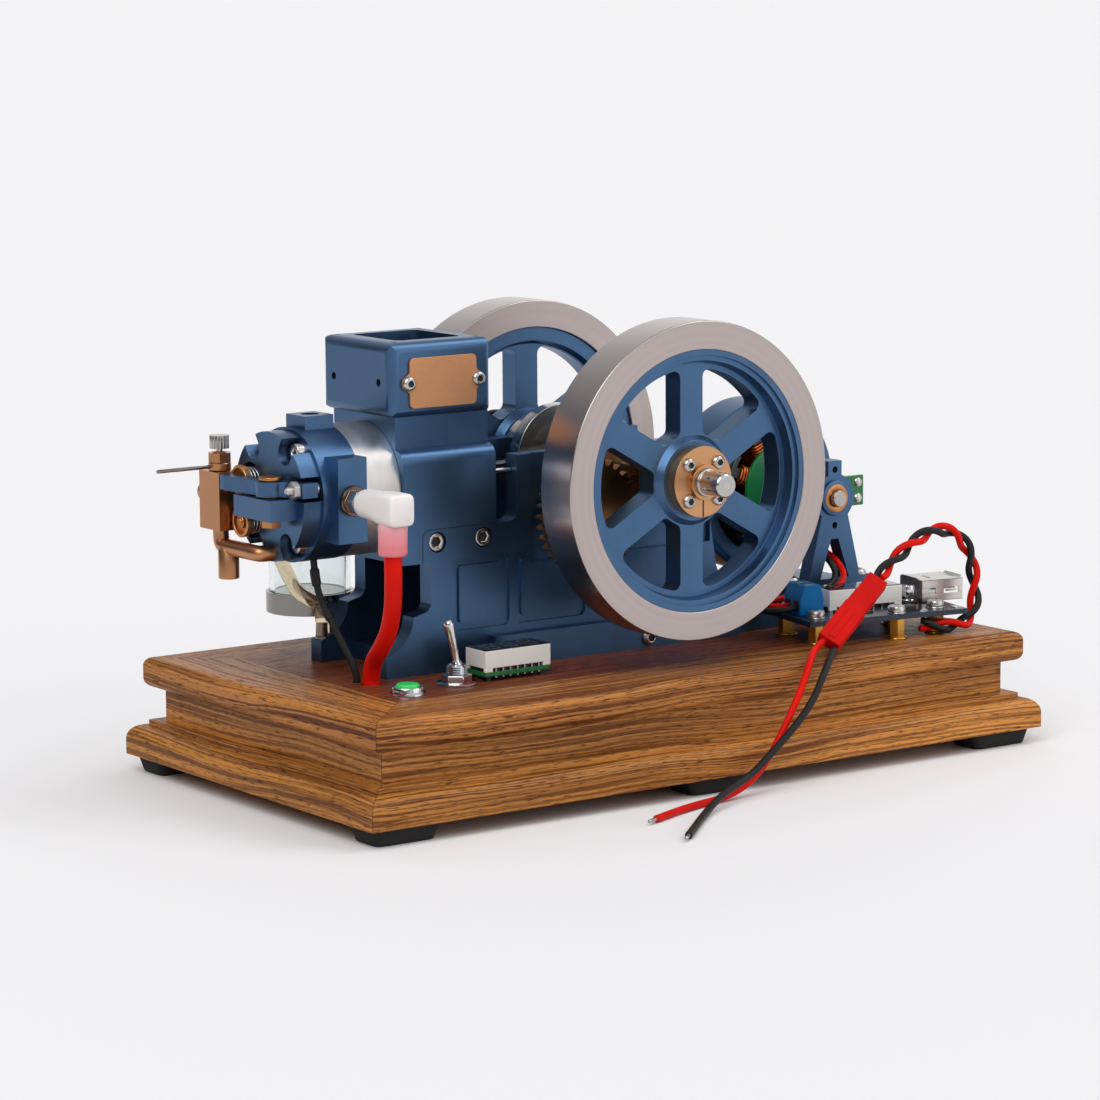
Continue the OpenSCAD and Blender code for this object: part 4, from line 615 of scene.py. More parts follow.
def closed_faces(rows: int, cols: int) -> list[list[int]]:
    """Quads between closed loops of points, and a face over each end loop."""
    last = (rows - 1) * cols
    return grid_faces(rows, cols, True).tolist() + [list(range(cols))[::-1], list(range(last, last + cols))]


def around(count: int) -> Array:
    """Angles evenly round a circle."""
    return np.linspace(0, 2 * np.pi, count, endpoint=False)


def arc(start: float, end: float, count: int) -> Array:
    """Rows (cos a, sin a) between two angles in degrees."""
    a = np.radians(np.linspace(start, end, count))
    return np.stack([np.cos(a), np.sin(a)], 1)


def ring(radius: float, sides: int, start: float = 0.0) -> Array:
    """Points on a circle, as (a, b) rows; few sides make a polygon, such as a hexagon."""
    a = np.radians(start) + around(sides)
    return radius * np.stack([np.cos(a), np.sin(a)], 1)


def boxy(angle: Array, power: float | Array) -> Array:
    """Reach of a boxy loop, |x|^power + |y|^power = 1, at an angle."""
    return (np.abs(np.cos(angle)) ** power + np.abs(np.sin(angle)) ** power) ** (-1 / power)


def rectangle(x0: float, y0: float, x1: float, y1: float) -> Array:
    """Corners of a rectangle in turning order."""
    return np.array([[x0, y0], [x1, y0], [x1, y1], [x0, y1]], float)


def ridges(start: float, end: float, pitch: float, low: float, high: float) -> list[list[float]]:
    """Profile of a thread: at each turn the radius steps from low to high, half a pitch on."""
    at = np.arange(start, end, pitch)
    rows = np.stack([np.full(len(at), low), at, np.full(len(at), high), at + pitch / 2], 1)
    return rows.reshape(-1, 2).tolist()


def turned_axes(turn: float) -> tuple[Array, Array]:
    """Directions of X and Y after a turn about the vertical, in degrees."""
    c, s = math.cos(math.radians(turn)), math.sin(math.radians(turn))
    return np.array([c, s, 0]), np.array([-s, c, 0])


def across(axis: Sequence[float]) -> tuple[Array, Array, Array]:
    """The direction of an axis and two directions across it."""
    n = np.asarray(axis, float) / np.linalg.norm(axis)
    u = np.cross(n, UP if abs(n[2]) < 0.9 else EAST)
    u /= np.linalg.norm(u)
    return n, u, np.cross(n, u)


def smooth_path(points: Array, count: int) -> Array:
    """A curve through points: each span is a cubic whose ends share slopes, (next - previous) / 2.

    Args:
        points: The points that the curve passes, one row each.
        count: Number of points on the result.

    Returns:
        Points evenly spaced along the curve.
    """
    p = np.vstack([2 * points[0] - points[1], points, 2 * points[-1] - points[-2]])
    t = np.linspace(0, len(points) - 1, 24 * len(points))
    k = np.minimum(t.astype(int), len(points) - 2)
    f = (t - k)[:, None]
    a, b, c, d = p[k], p[k + 1], p[k + 2], p[k + 3]
    line = 0.5 * (2 * b + (c - a) * f + (2 * a - 5 * b + 4 * c - d) * f ** 2 + (3 * b - a - 3 * c + d) * f ** 3)
    run = np.concatenate([[0], np.cumsum(np.linalg.norm(np.diff(line, axis=0), axis=1))])
    at = np.linspace(0, run[-1], count)
    return np.stack([np.interp(at, run, line[:, j]) for j in range(3)], 1)


def frames_along(path: Array, ref: Array | None = None) -> tuple[Array, Array]:
    """Two sideways directions along a path: the part of a direction that lies across the path, and its normal.

    Args:
        path: Points of the path.
        ref: The direction, or one for each point; without it, the one that the path follows least.

    Returns:
        First side and second side at each point.
    """
    t = np.gradient(path, axis=0)
    t /= np.linalg.norm(t, axis=1, keepdims=True)
    if ref is None:
        ref = np.linalg.svd(t.T @ t)[0][:, -1]
    u = ref - (ref * t).sum(1, keepdims=True) * t
    u /= np.linalg.norm(u, axis=1, keepdims=True)
    return u, np.cross(t, u)


def sweep(path: Array, u: Array, v: Array, radius: float | Array, sides: int) -> Array:
    """Loops round a path, as loops by sides by three: path(s) + radius(s) * (cos a * u(s) + sin a * v(s))."""
    a = around(sides)[None, :, None]
    r = np.broadcast_to(np.asarray(radius, float), (len(path),))[:, None, None]
    return path[:, None] + r * (np.cos(a) * u[:, None] + np.sin(a) * v[:, None])


def tube(name: str, path: Array, radius: float | Array, sides: int = 14, ref: Array | None = None) -> Piece:
    """A round tube along a path, closed by two end discs; its radius is in metres, ref is as for frames_along."""
    return mesh_object(name, sweep(path, *frames_along(path, ref), radius, sides), closed_faces(len(path), sides))


def lathe(name: str, profile: Rows, origin: Array, axis: Array = UP, sides: int = 48) -> Piece:
    """A turned solid: each (radius, height) becomes origin + height * axis + radius * (cos a * u + sin a * v).

    Args:
        name: The object's name.
        profile: Radius and height; it runs from the axis and back to it for a closed solid.
        origin: Where the height is 0.
        axis: Direction of the height.
        sides: Points round the axis.

    Returns:
        The solid.
    """
    p = np.asarray(profile, float) * MM
    n, u, v = across(axis)
    a = around(sides)[:, None]
    points = origin + p[:, 1, None, None] * n + p[:, 0, None, None] * (np.cos(a) * u + np.sin(a) * v)
    return mesh_object(name, points, grid_faces(len(p), sides, True), 40.0)


def skin(name: str, rows: Array, angle: float = 45.0) -> Piece:
    """A closed surface over rows of points, each row one loop; the end rows may shrink to a point."""
    return mesh_object(name, rows, closed_faces(*rows.shape[:2]), angle)


def prism(name: str, outline: Rows, origin: Array, x: Array, y: Array, height: float, bevel: float = 0.0) -> Piece:
    """A flat outline pushed along its normal: origin + a * x + b * y + h * (x cross y).

    Args:
        name: The object's name.
        outline: Points (a, b) in turning order.
        origin: Where a, b and h are 0.
        x: Direction of a.
        y: Direction of b.
        height: Length of the push.
        bevel: Width of rounded edges.

    Returns:
        The solid.
    """
    o = np.asarray(outline, float) * MM
    low = origin + o[:, :1] * x + o[:, 1:] * y
    obj = skin(name, np.stack([low, low + height * MM * np.cross(x, y)]), 30.0)
    if bevel > 0:
        round_edges(obj, bevel)
    return obj


def join(name: str, parts: Sequence[Piece]) -> Piece:
    """Puts the meshes of several new pieces into one piece and takes the pieces away."""
    bm = bmesh.new()
    for part in parts:
        bm.from_mesh(part.data)
        bpy.data.objects.remove(part)
    mesh = bpy.data.meshes.new(name)
    bm.to_mesh(mesh)
    bm.free()
    return new_object(name, mesh)


def round_edges(obj: Piece, width: float) -> None:
    """Adds a Bevel that rounds the edges sharper than 30 degrees, and keeps flat faces flat."""
    mod = obj.modifiers.new("edges", "BEVEL")
    mod.width = width * MM
    mod.segments = 2
    mod.loop_slide = False
    mod.limit_method = "ANGLE"
    mod.angle_limit = math.radians(30)
    obj.data.shade_smooth()
    obj.modifiers.new("flat faces", "WEIGHTED_NORMAL").weight = 50


@dataclass(frozen=True)
class Head:
    """A screw head with a six-sided socket.

    Attributes:
        at: Middle of its seat.
        axis: Direction out of the seat.
        radius: Radius.
        height: Height.
        socket: Radius of the socket to its corners.
        domed: Whether the head is a low dome.
    """

    at: Point
    axis: Point
    radius: float
    height: float
    socket: float
    domed: bool = False

    def build(self, name: str) -> Piece:
        """Loops round the axis: the outer ones are circles, the inner ones hexagons, r = flat / cos(angle)."""
        n, u, v = across(self.axis)
        a = around(48)
        six = math.cos(math.pi / 6) / np.cos(a % (math.pi / 3) - math.pi / 6)
        rim = [(1, 0.84), (0.97, 0.95), (0.9, 1.0)]
        if self.domed:
            rim = [(1, 0.3), (0.95, 0.55), (0.82, 0.8), (0.66, 0.95)]
        loops = [(self.radius * r * np.ones_like(a), h) for r, h in [(1, 0), *rim]]
        loops += [(self.socket * k * six, h) for k, h in ((1.14, 1.0), (1.0, 0.94), (1.0, 0.4))]
        way = np.cos(a)[:, None] * u + np.sin(a)[:, None] * v
        return skin(name, np.stack([mm(*self.at) + MM * (self.height * h * n + r[:, None] * way) for r, h in loops]))

    def floor(self, name: str) -> Piece:
        """A black disc on the floor of the socket: painted shade of the recess."""
        n, u, v = across(self.axis)
        at = mm(*self.at) + 0.41 * self.height * MM * n
        return prism(name, ring(self.socket, 6), at, u, v, 0.04 * self.height)


@dataclass
class Assembly:
    """Pieces that belong together.

    Attributes:
        frame: What the frame loader returned.
    """

    frame: dict

    def keep(self, obj: Piece, finish: Palette, *replaced: str, body: str = "base") -> Piece:
        """Dresses a new piece and puts it on its body.

        Args:
            obj: The piece.
            finish: Its finish.
            replaced: CAD nodes that it stands for.
            body: The body that it rides on.

        Returns:
            The piece.
        """
        obj.data.materials.clear()
        obj.data.materials.append(finish.value.material())
        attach(obj, body)
        if replaced:
            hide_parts(*replaced)
        LOG.info("piece %s: %d points", obj.name, len(obj.data.vertices))
        return obj

    def paint(self, finish: Palette, *nodes: str) -> None:
        """Gives CAD nodes a finish."""
        for node in nodes:
            obj = self.frame["nodes"][node]
            obj.data.materials.clear()
            obj.data.materials.append(finish.value.material())

    def soften(self, finish: Palette, width: float, *nodes: str) -> None:
        """Shows merged copies of CAD nodes with rounded edges of a width, in a finish."""
        bodies = self.frame["record"]["behaviour"]["bodies"]
        for node in nodes:
            source = self.frame["nodes"][node]
            obj = new_object(node + "_piece", source.data.copy())
            bm = bmesh.new()
            bm.from_mesh(obj.data)
            bmesh.ops.transform(bm, matrix=source.matrix_world, verts=bm.verts)
            bmesh.ops.remove_doubles(bm, verts=bm.verts, dist=2e-6)
            bmesh.ops.dissolve_limit(bm, angle_limit=math.radians(0.6), verts=bm.verts, edges=bm.edges)
            bm.to_mesh(obj.data)
            bm.free()
            obj.data.shade_smooth()
            obj.data.set_sharp_from_angle(angle=math.radians(30))
            round_edges(obj, width)
            self.keep(obj, finish, node, body=next(name for name, held in bodies.items() if node in held))

    def spin(self, name: str, finish: Palette, at: Array, profile: Rows, *replaced: str, axis: Array = UP,
             sides: int = 48, body: str = "base") -> Piece:
        """Turns a solid as lathe does, and keeps it."""
        return self.keep(lathe(name, profile, at, axis, sides), finish, *replaced, body=body)

    def heads(self, name: str, heads: Sequence[Head], node: str, body: str = "base") -> None:
        """Builds several screw heads as one piece for a node, and black socket floors, painted shade, as another."""
        self.keep(join(name, [h.build(f"{name}_{k}") for k, h in enumerate(heads)]), Palette.SCREW, node, body=body)
        # Black discs on the socket floors: painted shade of the recesses.
        painted_shade_floors = [h.floor(f"{name}_floor_{k}") for k, h in enumerate(heads)]
        self.keep(join(name + "_sockets", painted_shade_floors), Palette.BLACK, body=body)


@dataclass
class Studio:
    """Camera, pale seamless floor and soft lamps.

    Attributes:
        eye: The camera's place.
        azimuth: Turn of the view in degrees.
        elevation: Height of the view in degrees.
        roll: Turn about the line of sight in degrees.
        lens: Focal length.
        floor_code: Colour of the floor.
        bright: Direction of the bright side of the room.
        behind: Direction of the white backdrop.
    """

    eye: Point = (-682.8, -940.3, 242.1)
    azimuth: float = -35.423
    elevation: float = 8.798
    roll: float = -0.379
    lens: float = 130.2
    floor_code: str = "e9e8e9"
    bright: Point = (0.62, -0.78, 0.0)
    behind: Point = (0.58, 0.815, 0.0)

    def build(self) -> None:
        """Builds the camera, the floor, the world and the lamps."""
        bpy.context.scene.view_settings.view_transform = "Standard"
        self.camera()
        self.floor()
        self.world()
        self.lamp("key", (-0.7, -0.45, 0.85), 50.0, 1.6)
        self.lamp("front", (0.55, -0.85, 0.3), 50.0, 0.45)
        self.lamp("top", (0.58, -0.25, 0.75), 26.0, 0.5)
        LOG.info("studio ready")

    def camera(self) -> None:
        """Places the camera as the photo has it."""
        data = bpy.data.cameras.new("camera")
        data.lens = self.lens
        data.sensor_width = 36.0
        data.clip_start = 0.01
        obj = new_object("camera", data)
        e, r = math.radians(self.elevation), math.radians(self.roll)
        level, away = turned_axes(self.azimuth)
        back = math.sin(e) * UP - math.cos(e) * away
        up = np.cross(back, level)
        place = np.eye(4)
        place[:3] = np.stack([math.cos(r) * level + math.sin(r) * up, math.cos(r) * up - math.sin(r) * level, back,
                              mm(*self.eye)], 1)
        obj.matrix_world = Matrix(place.tolist())
        bpy.context.scene.camera = obj

    def floor(self) -> None:
        """A level floor that runs out of sight on all sides."""
        side, away = turned_axes(self.azimuth)
        run = np.linspace(-30.0, 30.0, 24)
        points = run[:, None, None] * away + run[None, :, None] * side
        obj = mesh_object("floor", points, grid_faces(len(run), len(run), False)[:, ::-1])
        mat = bpy.data.materials.new("floor")
        mat.use_nodes = True
        Tree(mat.node_tree).fill(mat.node_tree.nodes["Principled BSDF"], {
            "Base Color": (*srgb(self.floor_code), 1.0), "Roughness": 0.85, "Specular IOR Level": 0.2})
        obj.data.materials.append(mat)

    def world(self) -> None:
        """A room with a white backdrop, bright in front on the right and above, and dim on the left."""
        world = bpy.data.worlds.new("studio")
        bpy.context.scene.world = world
        world.use_nodes = True
        t = Tree(world.node_tree)
        way = t.add("TexCoord").outputs["Generated"]
        facing = t.plus(t.times(t.vector("DOT_PRODUCT", way, self.bright), 0.5), 0.5)
        walls = t.ramp(facing, [(0.15, (0.05, 0.05, 0.055)), (0.5, (0.13, 0.13, 0.14)), (0.85, (0.6, 0.6, 0.61))])
        backdrop = t.span(t.vector("DOT_PRODUCT", way, self.behind), 0.55, 0.85)
        above = t.span(t.separate(way)[2], 0.25, 0.85)
        room = t.mix(above, t.mix(backdrop, walls, (1.0, 1.0, 1.0)), (0.66, 0.66, 0.67))
        t.fill(world.node_tree.nodes["Background"], {"Color": room, "Strength": 1.0})

    def lamp(self, name: str, place: Point, spread: float, power: float) -> None:
        """Adds a soft lamp, far off in a direction, that fills an angle in degrees and faces the object."""
        data = bpy.data.lights.new(name, "SUN")
        data.angle = math.radians(spread)
        data.energy = power
        obj = new_object(name, data)
        obj.location = place
        obj.rotation_euler = Vector(place).to_track_quat("Z", "Y").to_euler()


@dataclass
class OutputLeads(Assembly):
    """The twisted pair, its plug and the two loose leads.

    Attributes:
        radius: Radius of a lead in metres.
        half: Distance of each lead of the pair from the pair's line, in metres.
        turn: Turn of the pair per bend, in degrees.
        bare: Length of a bare end in metres.
        plug_low: Lower end of the plug.
        plug_high: Upper end of the plug.
        pair: Bends of the pair, from the plug to the board.
        red: Bends of the loose red lead, from the plug.
        black: Bends of the loose black lead, from the plug.
    """

    radius: float = 0.00105
    half: float = 0.00122
    turn: float = 100.0
    bare: float = 0.004
    plug_low: Point = (43.8, -57.9, 37.6)
    plug_high: Point = (66, -53.9, 53.4)
    pair: Rows = (
        (66.5, -53.9, 54.1), (70, -53, 56.5), (74, -52.5, 59), (78.5, -52, 61.5), (83, -51.5, 63.6), (88, -51, 65.2),
        (93, -50.5, 65.6), (98, -50, 64.4), (102.5, -49.8, 61.4), (105.6, -49.6, 57), (107, -49.6, 52),
        (107.4, -49.8, 47), (107, -50.4, 42.4), (105, -51.2, 38.6), (101, -52, 36.8), (96, -52.2, 36.6),
        (91, -51.2, 36.8), (87, -49, 37.4))
    red: Rows = (
        (43.2, -57.2, 38.6), (39.5, -58.8, 37.4), (35.5, -61.5, 36.4), (31.5, -64.6, 34), (28, -66.8, 30.4),
        (25, -68, 26.4), (22, -68.8, 22.4), (19, -69.4, 18.4), (16, -69.8, 14.4), (12.5, -70.4, 10.4), (8, -71.2, 6.6),
        (2.5, -72.2, 3.6), (-4, -73.4, 1.8), (-11, -74.8, 1.2), (-19, -76.8, 1.2), (-27, -79.4, 1.2),
        (-35, -82.6, 1.2), (-42, -85.6, 1.2))
    black: Rows = (
        (45.4, -59.2, 35.9), (41.6, -62.6, 35.8), (37.4, -66, 33.8), (33.4, -68.4, 30.6), (29.6, -70.2, 26.6),
        (25.6, -71.4, 22.8), (21.4, -72.2, 19.4), (16.8, -72.8, 16), (12.2, -73.2, 12.8), (7.6, -73.8, 9.8),
        (2.6, -74.8, 7.2), (-3.4, -76.4, 5.4), (-9.6, -78.8, 4.2), (-16, -82, 2.8), (-22.6, -86.4, 1.6),
        (-29, -91.8, 1.2), (-35.2, -97.6, 1.2), (-41, -103, 1.2), (-46.4, -108, 1.2))

    def build(self) -> None:
        plug = self.plug()
        for (name, finish), phase in zip(WIRES, (0.0, 180.0)):
            line = self.twisted(phase)[::-1]
            obj = self.keep(tube(name + "_pair_lead", line, self.radius), finish, name + "_lead")
        for (name, finish), bends in zip(WIRES, (self.red, self.black)):
            line = smooth_path(route(bends), 220)
            keep = int(len(line) * (1 - self.bare / self.run(line)))
            cover, core = line[:keep + 1], line[keep - 2:]
            wire = tube(name + "_bare_end", core, np.linspace(0.00062, 0.0005, len(core)), 10)
            tip = self.keep(wire, Palette.SCREW)
            obj = self.keep(tube(name + "_loose_lead", cover, self.radius), finish, name + "_lead")

    def run(self, line: Array) -> float:
        """Length along a line of points."""
        return float(np.linalg.norm(np.diff(line, axis=0), axis=1).sum())

    def twisted(self, phase: float) -> Array:
        """One lead of the pair: the pair's line + half * (cos a * u + sin a * v), where a grows evenly from a phase."""
        line = smooth_path(route(self.pair), 320)
        u, v = frames_along(line)
        a = np.radians(phase + np.linspace(0, self.turn * (len(self.pair) - 1), len(line)))[:, None]
        return line + self.half * (np.cos(a) * u + np.sin(a) * v)

    def plug(self) -> list[Piece]:
        """The plug: a stepped housing with a ridge, in the plug's own turned axes."""
        low = mm(*self.plug_low)
        d = mm(*self.plug_high) - low
        length = float(np.linalg.norm(d))
        turn = Matrix.Rotation(math.atan2(d[1], d[0]), 3, "Z") @ Matrix.Rotation(-math.asin(d[2] / length), 3, "Y")
        x, y, z = np.array(turn @ Matrix.Rotation(math.radians(38), 3, "X")).T
        made = []
        for name, x0, x1, half_y, z0, z1 in (("plug_socket", 0.0, 15.0, 3.5, -2.5, 2.5),
                                             ("plug_pins", 14.6, length / MM, 3.15, -2.1, 2.1),
                                             ("plug_latch", 1.2, 11.8, 1.1, 2.3, 2.9),
                                             ("plug_rib", 15.8, 21.0, 3.5, -0.8, 0.8)):
            obj = prism(name, rectangle(x0, -half_y, x1, half_y), low + z0 * MM * z, x, y, z1 - z0, 0.3)
            made.append(self.keep(obj, Palette.CONNECTOR, "lead_connector"))
        return made


class Plinth(Assembly):
    """The wooden plinth with its inlaid board and feet."""

    def dress(self) -> None:
        """Rounds the edges and lays on the wood."""
        self.soften(Palette.EDGE_WOOD, 0.5, "plinth_base")
        self.soften(Palette.SLAB_WOOD, 0.4, "plinth_top")
        self.soften(Palette.INLAY_WOOD, 0.25, "plinth_inlay")
        self.keep(self.feet(), Palette.RUBBER, "rubber_feet")

    def feet(self) -> Piece:
        """Six feet that narrow downward: boxy loops at rising heights."""
        a = around(64)
        loop = boxy(a, 8)[:, None] * np.stack([11.0 * np.cos(a), 6.6 * np.sin(a)], 1)
        size = np.array([0.76, 0.84, 0.87, 0.9, 1.0, 1.0])
        height = np.array([0.0, 0.0, 0.15, 0.8, 4.2, 5.0])
        feet = []
        for k, middle in enumerate((x, y) for x in (-107.0, 0.0, 107.0) for y in (-57.5, 57.5)):
            flat = size[:, None, None] * loop + middle
            rows = np.concatenate([flat, np.broadcast_to(height[:, None, None], (*flat.shape[:2], 1))], 2)
            feet.append(skin(f"foot_{k}", route(rows)))
        return join("feet", feet)


class EngineFrame(Assembly):
    """Bed, side plates, bearings and screws."""

    def dress(self) -> None:
        """Rounds the edges of the plates and dresses the steel."""
        self.soften(Palette.BLUE, 0.4, "bed_plate", "front_side_plate", "rear_side_plate")
        front, back, left, up = (0, -1, 0), (0, 1, 0), (-1, 0, 0), (0, 0, 1)
        heads = [Head((x, y, 71.7), way, 2.7, 2.85, 1.5)
                 for x in (-61.7, -45.7) for y, way in ((-8.8, front), (24.8, back))]
        heads += [Head((-99.0, y, z), left, 2.5, 3.0, 1.3)
                  for y, z in ((-0.5, 73.4), (-0.5, 99.4), (16.5, 99.4), (15.2, 71.8))]
        heads += [Head((x, -11.0, 117.4), front, 2.1, 1.3, 1.05, True) for x in (-70.1, -46.5)]
        heads += [Head((10.9, -15.0, 37.0), front, 2.5, 1.6, 1.25, True)]
        heads += [Head((x, -9.5, 47.0), up, 2.7, 1.65, 1.3, True) for x in (68.9, 95.4)]
        self.heads("frame_screws", heads, "machine_screws")
        self.soften(Palette.SHAFT, 0.3, "bearings")


class Cylinder(Assembly):
    """Block with water hopper, barrel, head and cover."""

    def dress(self) -> None:
        """Rounds the castings and dresses the plate on the hopper."""
        self.soften(Palette.BLUE, 0.4, "cylinder_block", "cylinder_head", "head_cover")
        self.soften(Palette.BARREL, 0.3, "cylinder_barrel")
        self.keep(self.plate(), Palette.PLATE, "nameplate")
        self.fill_corner_and_shade_gap("front", -12.0, -1.0)
        self.fill_corner_and_shade_gap("rear", 28.0, 1.0)

    def fill_corner_and_shade_gap(self, side: str, face: float, way: float) -> None:
        """Fills the notch at a side plate's round corner and lays a black strip round it, painted shade of the gap.

        The black strip is a band 0.3 mm wide: up the plate's end, round a bend of 2.5 mm and along its top.

        Args:
            side: Front or rear, for the names.
            face: The plate's face along Y.
            way: 1 or -1, the way that the face looks.
        """
        end, top, bend, half, drop, run = -66.7, 75.5, 2.5, 0.15, 9.4, 25.3
        turn = arc(180, 90, 12)
        outer, middle, inner = ((bend + d) * turn + [bend, -bend] for d in (half, 0.0, -half))
        band = np.vstack([[[-half, -drop]], outer, [[run, half], [run, -half]], inner[::-1], [[half, -drop]]])
        notch = np.vstack([[[0.0, 0.0]], middle[::-1]])
        # The joint piece is this black strip, 0.02 mm proud: painted shade of the gap; the corner piece is blue metal
        # that fills the notch.
        for name, outline, deep, proud, finish in (("joint", band, 0.3, 0.02, Palette.BLACK),
                                                   ("corner", notch, 2.0, 0.0, Palette.BLUE)):
            at = mm(end, face - way * deep, top)
            self.keep(prism(f"{side}_plate_{name}", outline * [-way, 1.0], at, -way * EAST, UP, deep + proud), finish)

    def plate(self) -> Piece:
        """The bare plate: rounded corners, and at each end a round lug, side = half width + 2.5 * exp(-(b / 2.2)^4)."""
        wide, high, corner = 11.3, 7.15, 1.5
        b = np.linspace(corner - high, high - corner, 48)
        right = np.stack([wide + 2.5 * np.exp(-(b / 2.2) ** 4), b], 1)
        bend = [wide - corner, high - corner] + corner * arc(0, 90, 8)
        outline = np.vstack([right, bend[1:], bend[:0:-1] * [-1, 1], right[::-1] * [-1, 1], bend[1:] * [-1, -1],
                             bend[:0:-1] * [1, -1]])
        return prism("name_plate", outline, mm(-58.3, -10.2, 117.4), EAST, UP, 0.8, 0.12)


@dataclass
class ValveGear(Assembly):
    """Rocker, push rod, valves and their springs.

    Attributes:
        turns: Turns of a spring.
        reach: Where the spring starts and ends along X.
        well: Floor of the spring's well along X; not used.
        squeeze: Share of its length that a spring keeps when its valve is open; not used.
        adjuster: End of the adjusting screw.
        stem: Length of a valve's stem.
    """

    turns: int = 5
    reach: tuple[float, float] = (-106.75, -101.45)
    well: float = -101.0
    squeeze: float = 0.68
    adjuster: Point = (-109.6, -8.6, 90.0)
    stem: float = 18.1

    def dress(self) -> None:
        """Dresses the metal, turns the valves and winds the springs."""
        self.soften(Palette.BLUE, 0.4, "rocker_arm")
        self.soften(Palette.SCREW, 0.18, "rocker_adjuster")
        self.soften(Palette.BRONZE, 0.2, "rocker_pivot")
        self.paint(Palette.STEEL, "pushrod")
        # A cup for the spring, open to the front round the stem's boss, then the stem and the disc behind.
        profile = [[0, -0.4], [1.0, -0.4], [1.2, -0.2], [1.2, 0.0], [1.75, 0.0], [1.9, 0.15], [1.9, 1.3], [3.35, 1.3],
                   [3.45, 0.1], [3.6, -0.05], [4.2, -0.05], [4.4, 0.15], [4.4, 1.6], [4.2, 1.8], [1.3, 1.85],
                   [1.2, 2.0], [1.2, self.stem], [4.0, self.stem], [4.0, self.stem + 1.2], [0, self.stem + 1.2]]
        for name, y, z in (("exhaust", 18.0, 90.2), ("intake", 17.7, 78.4)):
            self.spin(name + "_valve_piece", Palette.BRONZE, mm(-109.0, y, z), profile, name + "_valve", axis=EAST,
                      body=name + "_valve")
            wire = self.keep(self.spring(name, y, z), Palette.STEEL, name + "_spring")
            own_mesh(wire)
        thread = [[0, -0.25], [0.7, -0.25], *ridges(0, 1.9, 0.3, 1.0, 1.16), [0, 2.1]]
        self.spin("adjuster_thread", Palette.SCREW, mm(*self.adjuster), thread, axis=EAST, sides=24, body="rocker")

    def spring(self, name: str, y: float, z: float) -> Piece:
        """A wound wire: x runs along the stem at y and z while the point turns round it at the spring's radius."""
        f = np.linspace(0, 1, 48 * self.turns)
        a = 2 * np.pi * self.turns * f
        x = self.reach[0] + (self.reach[1] - self.reach[0]) * f
        out = 3.3 * np.stack([np.zeros(len(f)), np.cos(a), np.sin(a)], 1)
        line = route(np.stack([x, np.full(len(f), y), np.full(len(f), z)], 1) + out)
        return tube(name + "_spring_wire", line, 0.00035, 10, out)


@dataclass
class Fuel(Assembly):
    """Carburettor, choke, glass cup and hose.

    Attributes:
        choke_at: Foot of the choke collar.
        hose: Bends of the hose.
    """

    choke_at: Point = (-109.0, 28.2, 92.0)
    hose: Rows = (
        (-105.2, 29.7, 80.4), (-99.4, 29.7, 80.4), (-95, 29.9, 77.8), (-91.8, 29.9, 72.4), (-89.4, 29.3, 66.4),
        (-87, 28.7, 60.4), (-83.8, 27.7, 54.4), (-78.5, 25.75, 50.2), (-77.3, 25.25, 45.6), (-77.3, 25.25, 41.2))

    def dress(self) -> None:
        """Dresses the metal and the glass, turns the choke and runs the hose."""
        self.keep(self.carburettor(), Palette.CARB, "carburettor")
        self.soften(Palette.STEEL, 0.15, "mixture_needle")
        x, y, z = self.choke_at
        collar = [[1.95, 0.2], [3.1, 0.2], [3.3, 0.4], [3.3, 2.2], [3.1, 2.4], [1.95, 2.4], [1.95, 0.2]]
        self.spin("choke_collar", Palette.CARB, mm(x, y, z), collar, "choke_lever", sides=40, body="choke")
        rod = [[0, -20.5], [0.42, -20.5], [0.55, -20.3], [0.55, -2.9], [0, -2.9]]
        self.spin("choke_rod", Palette.CUP, mm(x, y, z + 1.3), rod, "choke_lever", axis=EAST, sides=20, body="choke")
        self.soften(Palette.CUP, 0.5, "fuel_cup_caps")
        self.paint(Palette.GLASS, "fuel_cup")
        self.keep(tube("fuel_line", smooth_path(route(self.hose), 160), 0.002, 24), Palette.HOSE, "fuel_hose")

    def carburettor(self) -> Piece:
        """The body with its gland, side plug, elbow, air tube and hose spigot, as one piece."""
        x, y, top = self.choke_at
        wide, deep, low = 3.6, 5.5, 70.5
        neck = [[1.1, -0.5], [1.9, -0.5], [1.9, 5.5], [1.1, 5.5], [1.1, -0.5]]
        plug = [[0, -0.5], [3.0, -0.5], [3.0, 2.2], [2.75, 2.8], [1.9, 3.5], [1.0, 3.9], [0, 4.0]]
        tail = [[0, 6.5], [2.3, 6.5], [2.3, 0.25], [2.45, 0], [2.8, 0], [3.0, 0.2], [3.0, 8.4], [2.7, 8.9], [1.8, 9.4],
                [0, 9.6]]
        spigot = [[0, 0], [1.4, 0], [1.4, 3.4], [1.75, 3.5], [1.4, 4.9], [1.2, 5.0], [0, 5.0]]
        elbow = smooth_path(route([[x, y, 76], [x, y, 73.6], [x, y - 0.5, 71.4], [x, y - 2.4, low], [x, y - 8, low],
                                   [x, y - 14, low], [x, 9.6, low], [x + 0.9, 7.5, low], [x + 4.4, 7, low]]), 90)
        block = rectangle(-wide, -deep, wide, deep)
        return join("carburettor_piece", [
            prism("carb_block", block, mm(x, y, top - 16.6), EAST, NORTH, 16.6, 0.3),
            prism("carb_gland", ring(3.6, 6), mm(x, y, top + 2.6), EAST, NORTH, 2.6, 0.3),
            lathe("carb_neck", neck, mm(x, y, top), UP, 32),
            lathe("carb_plug", plug, mm(x, y + deep, top - 6.7), NORTH, 40),
            lathe("carb_tail", tail, mm(x, 24.2, 61.5), UP, 40),
            lathe("carb_spigot", spigot, mm(x + wide, *self.hose[0][1:]), EAST, 28),
            tube("carb_elbow", elbow, 0.0023, 28)])


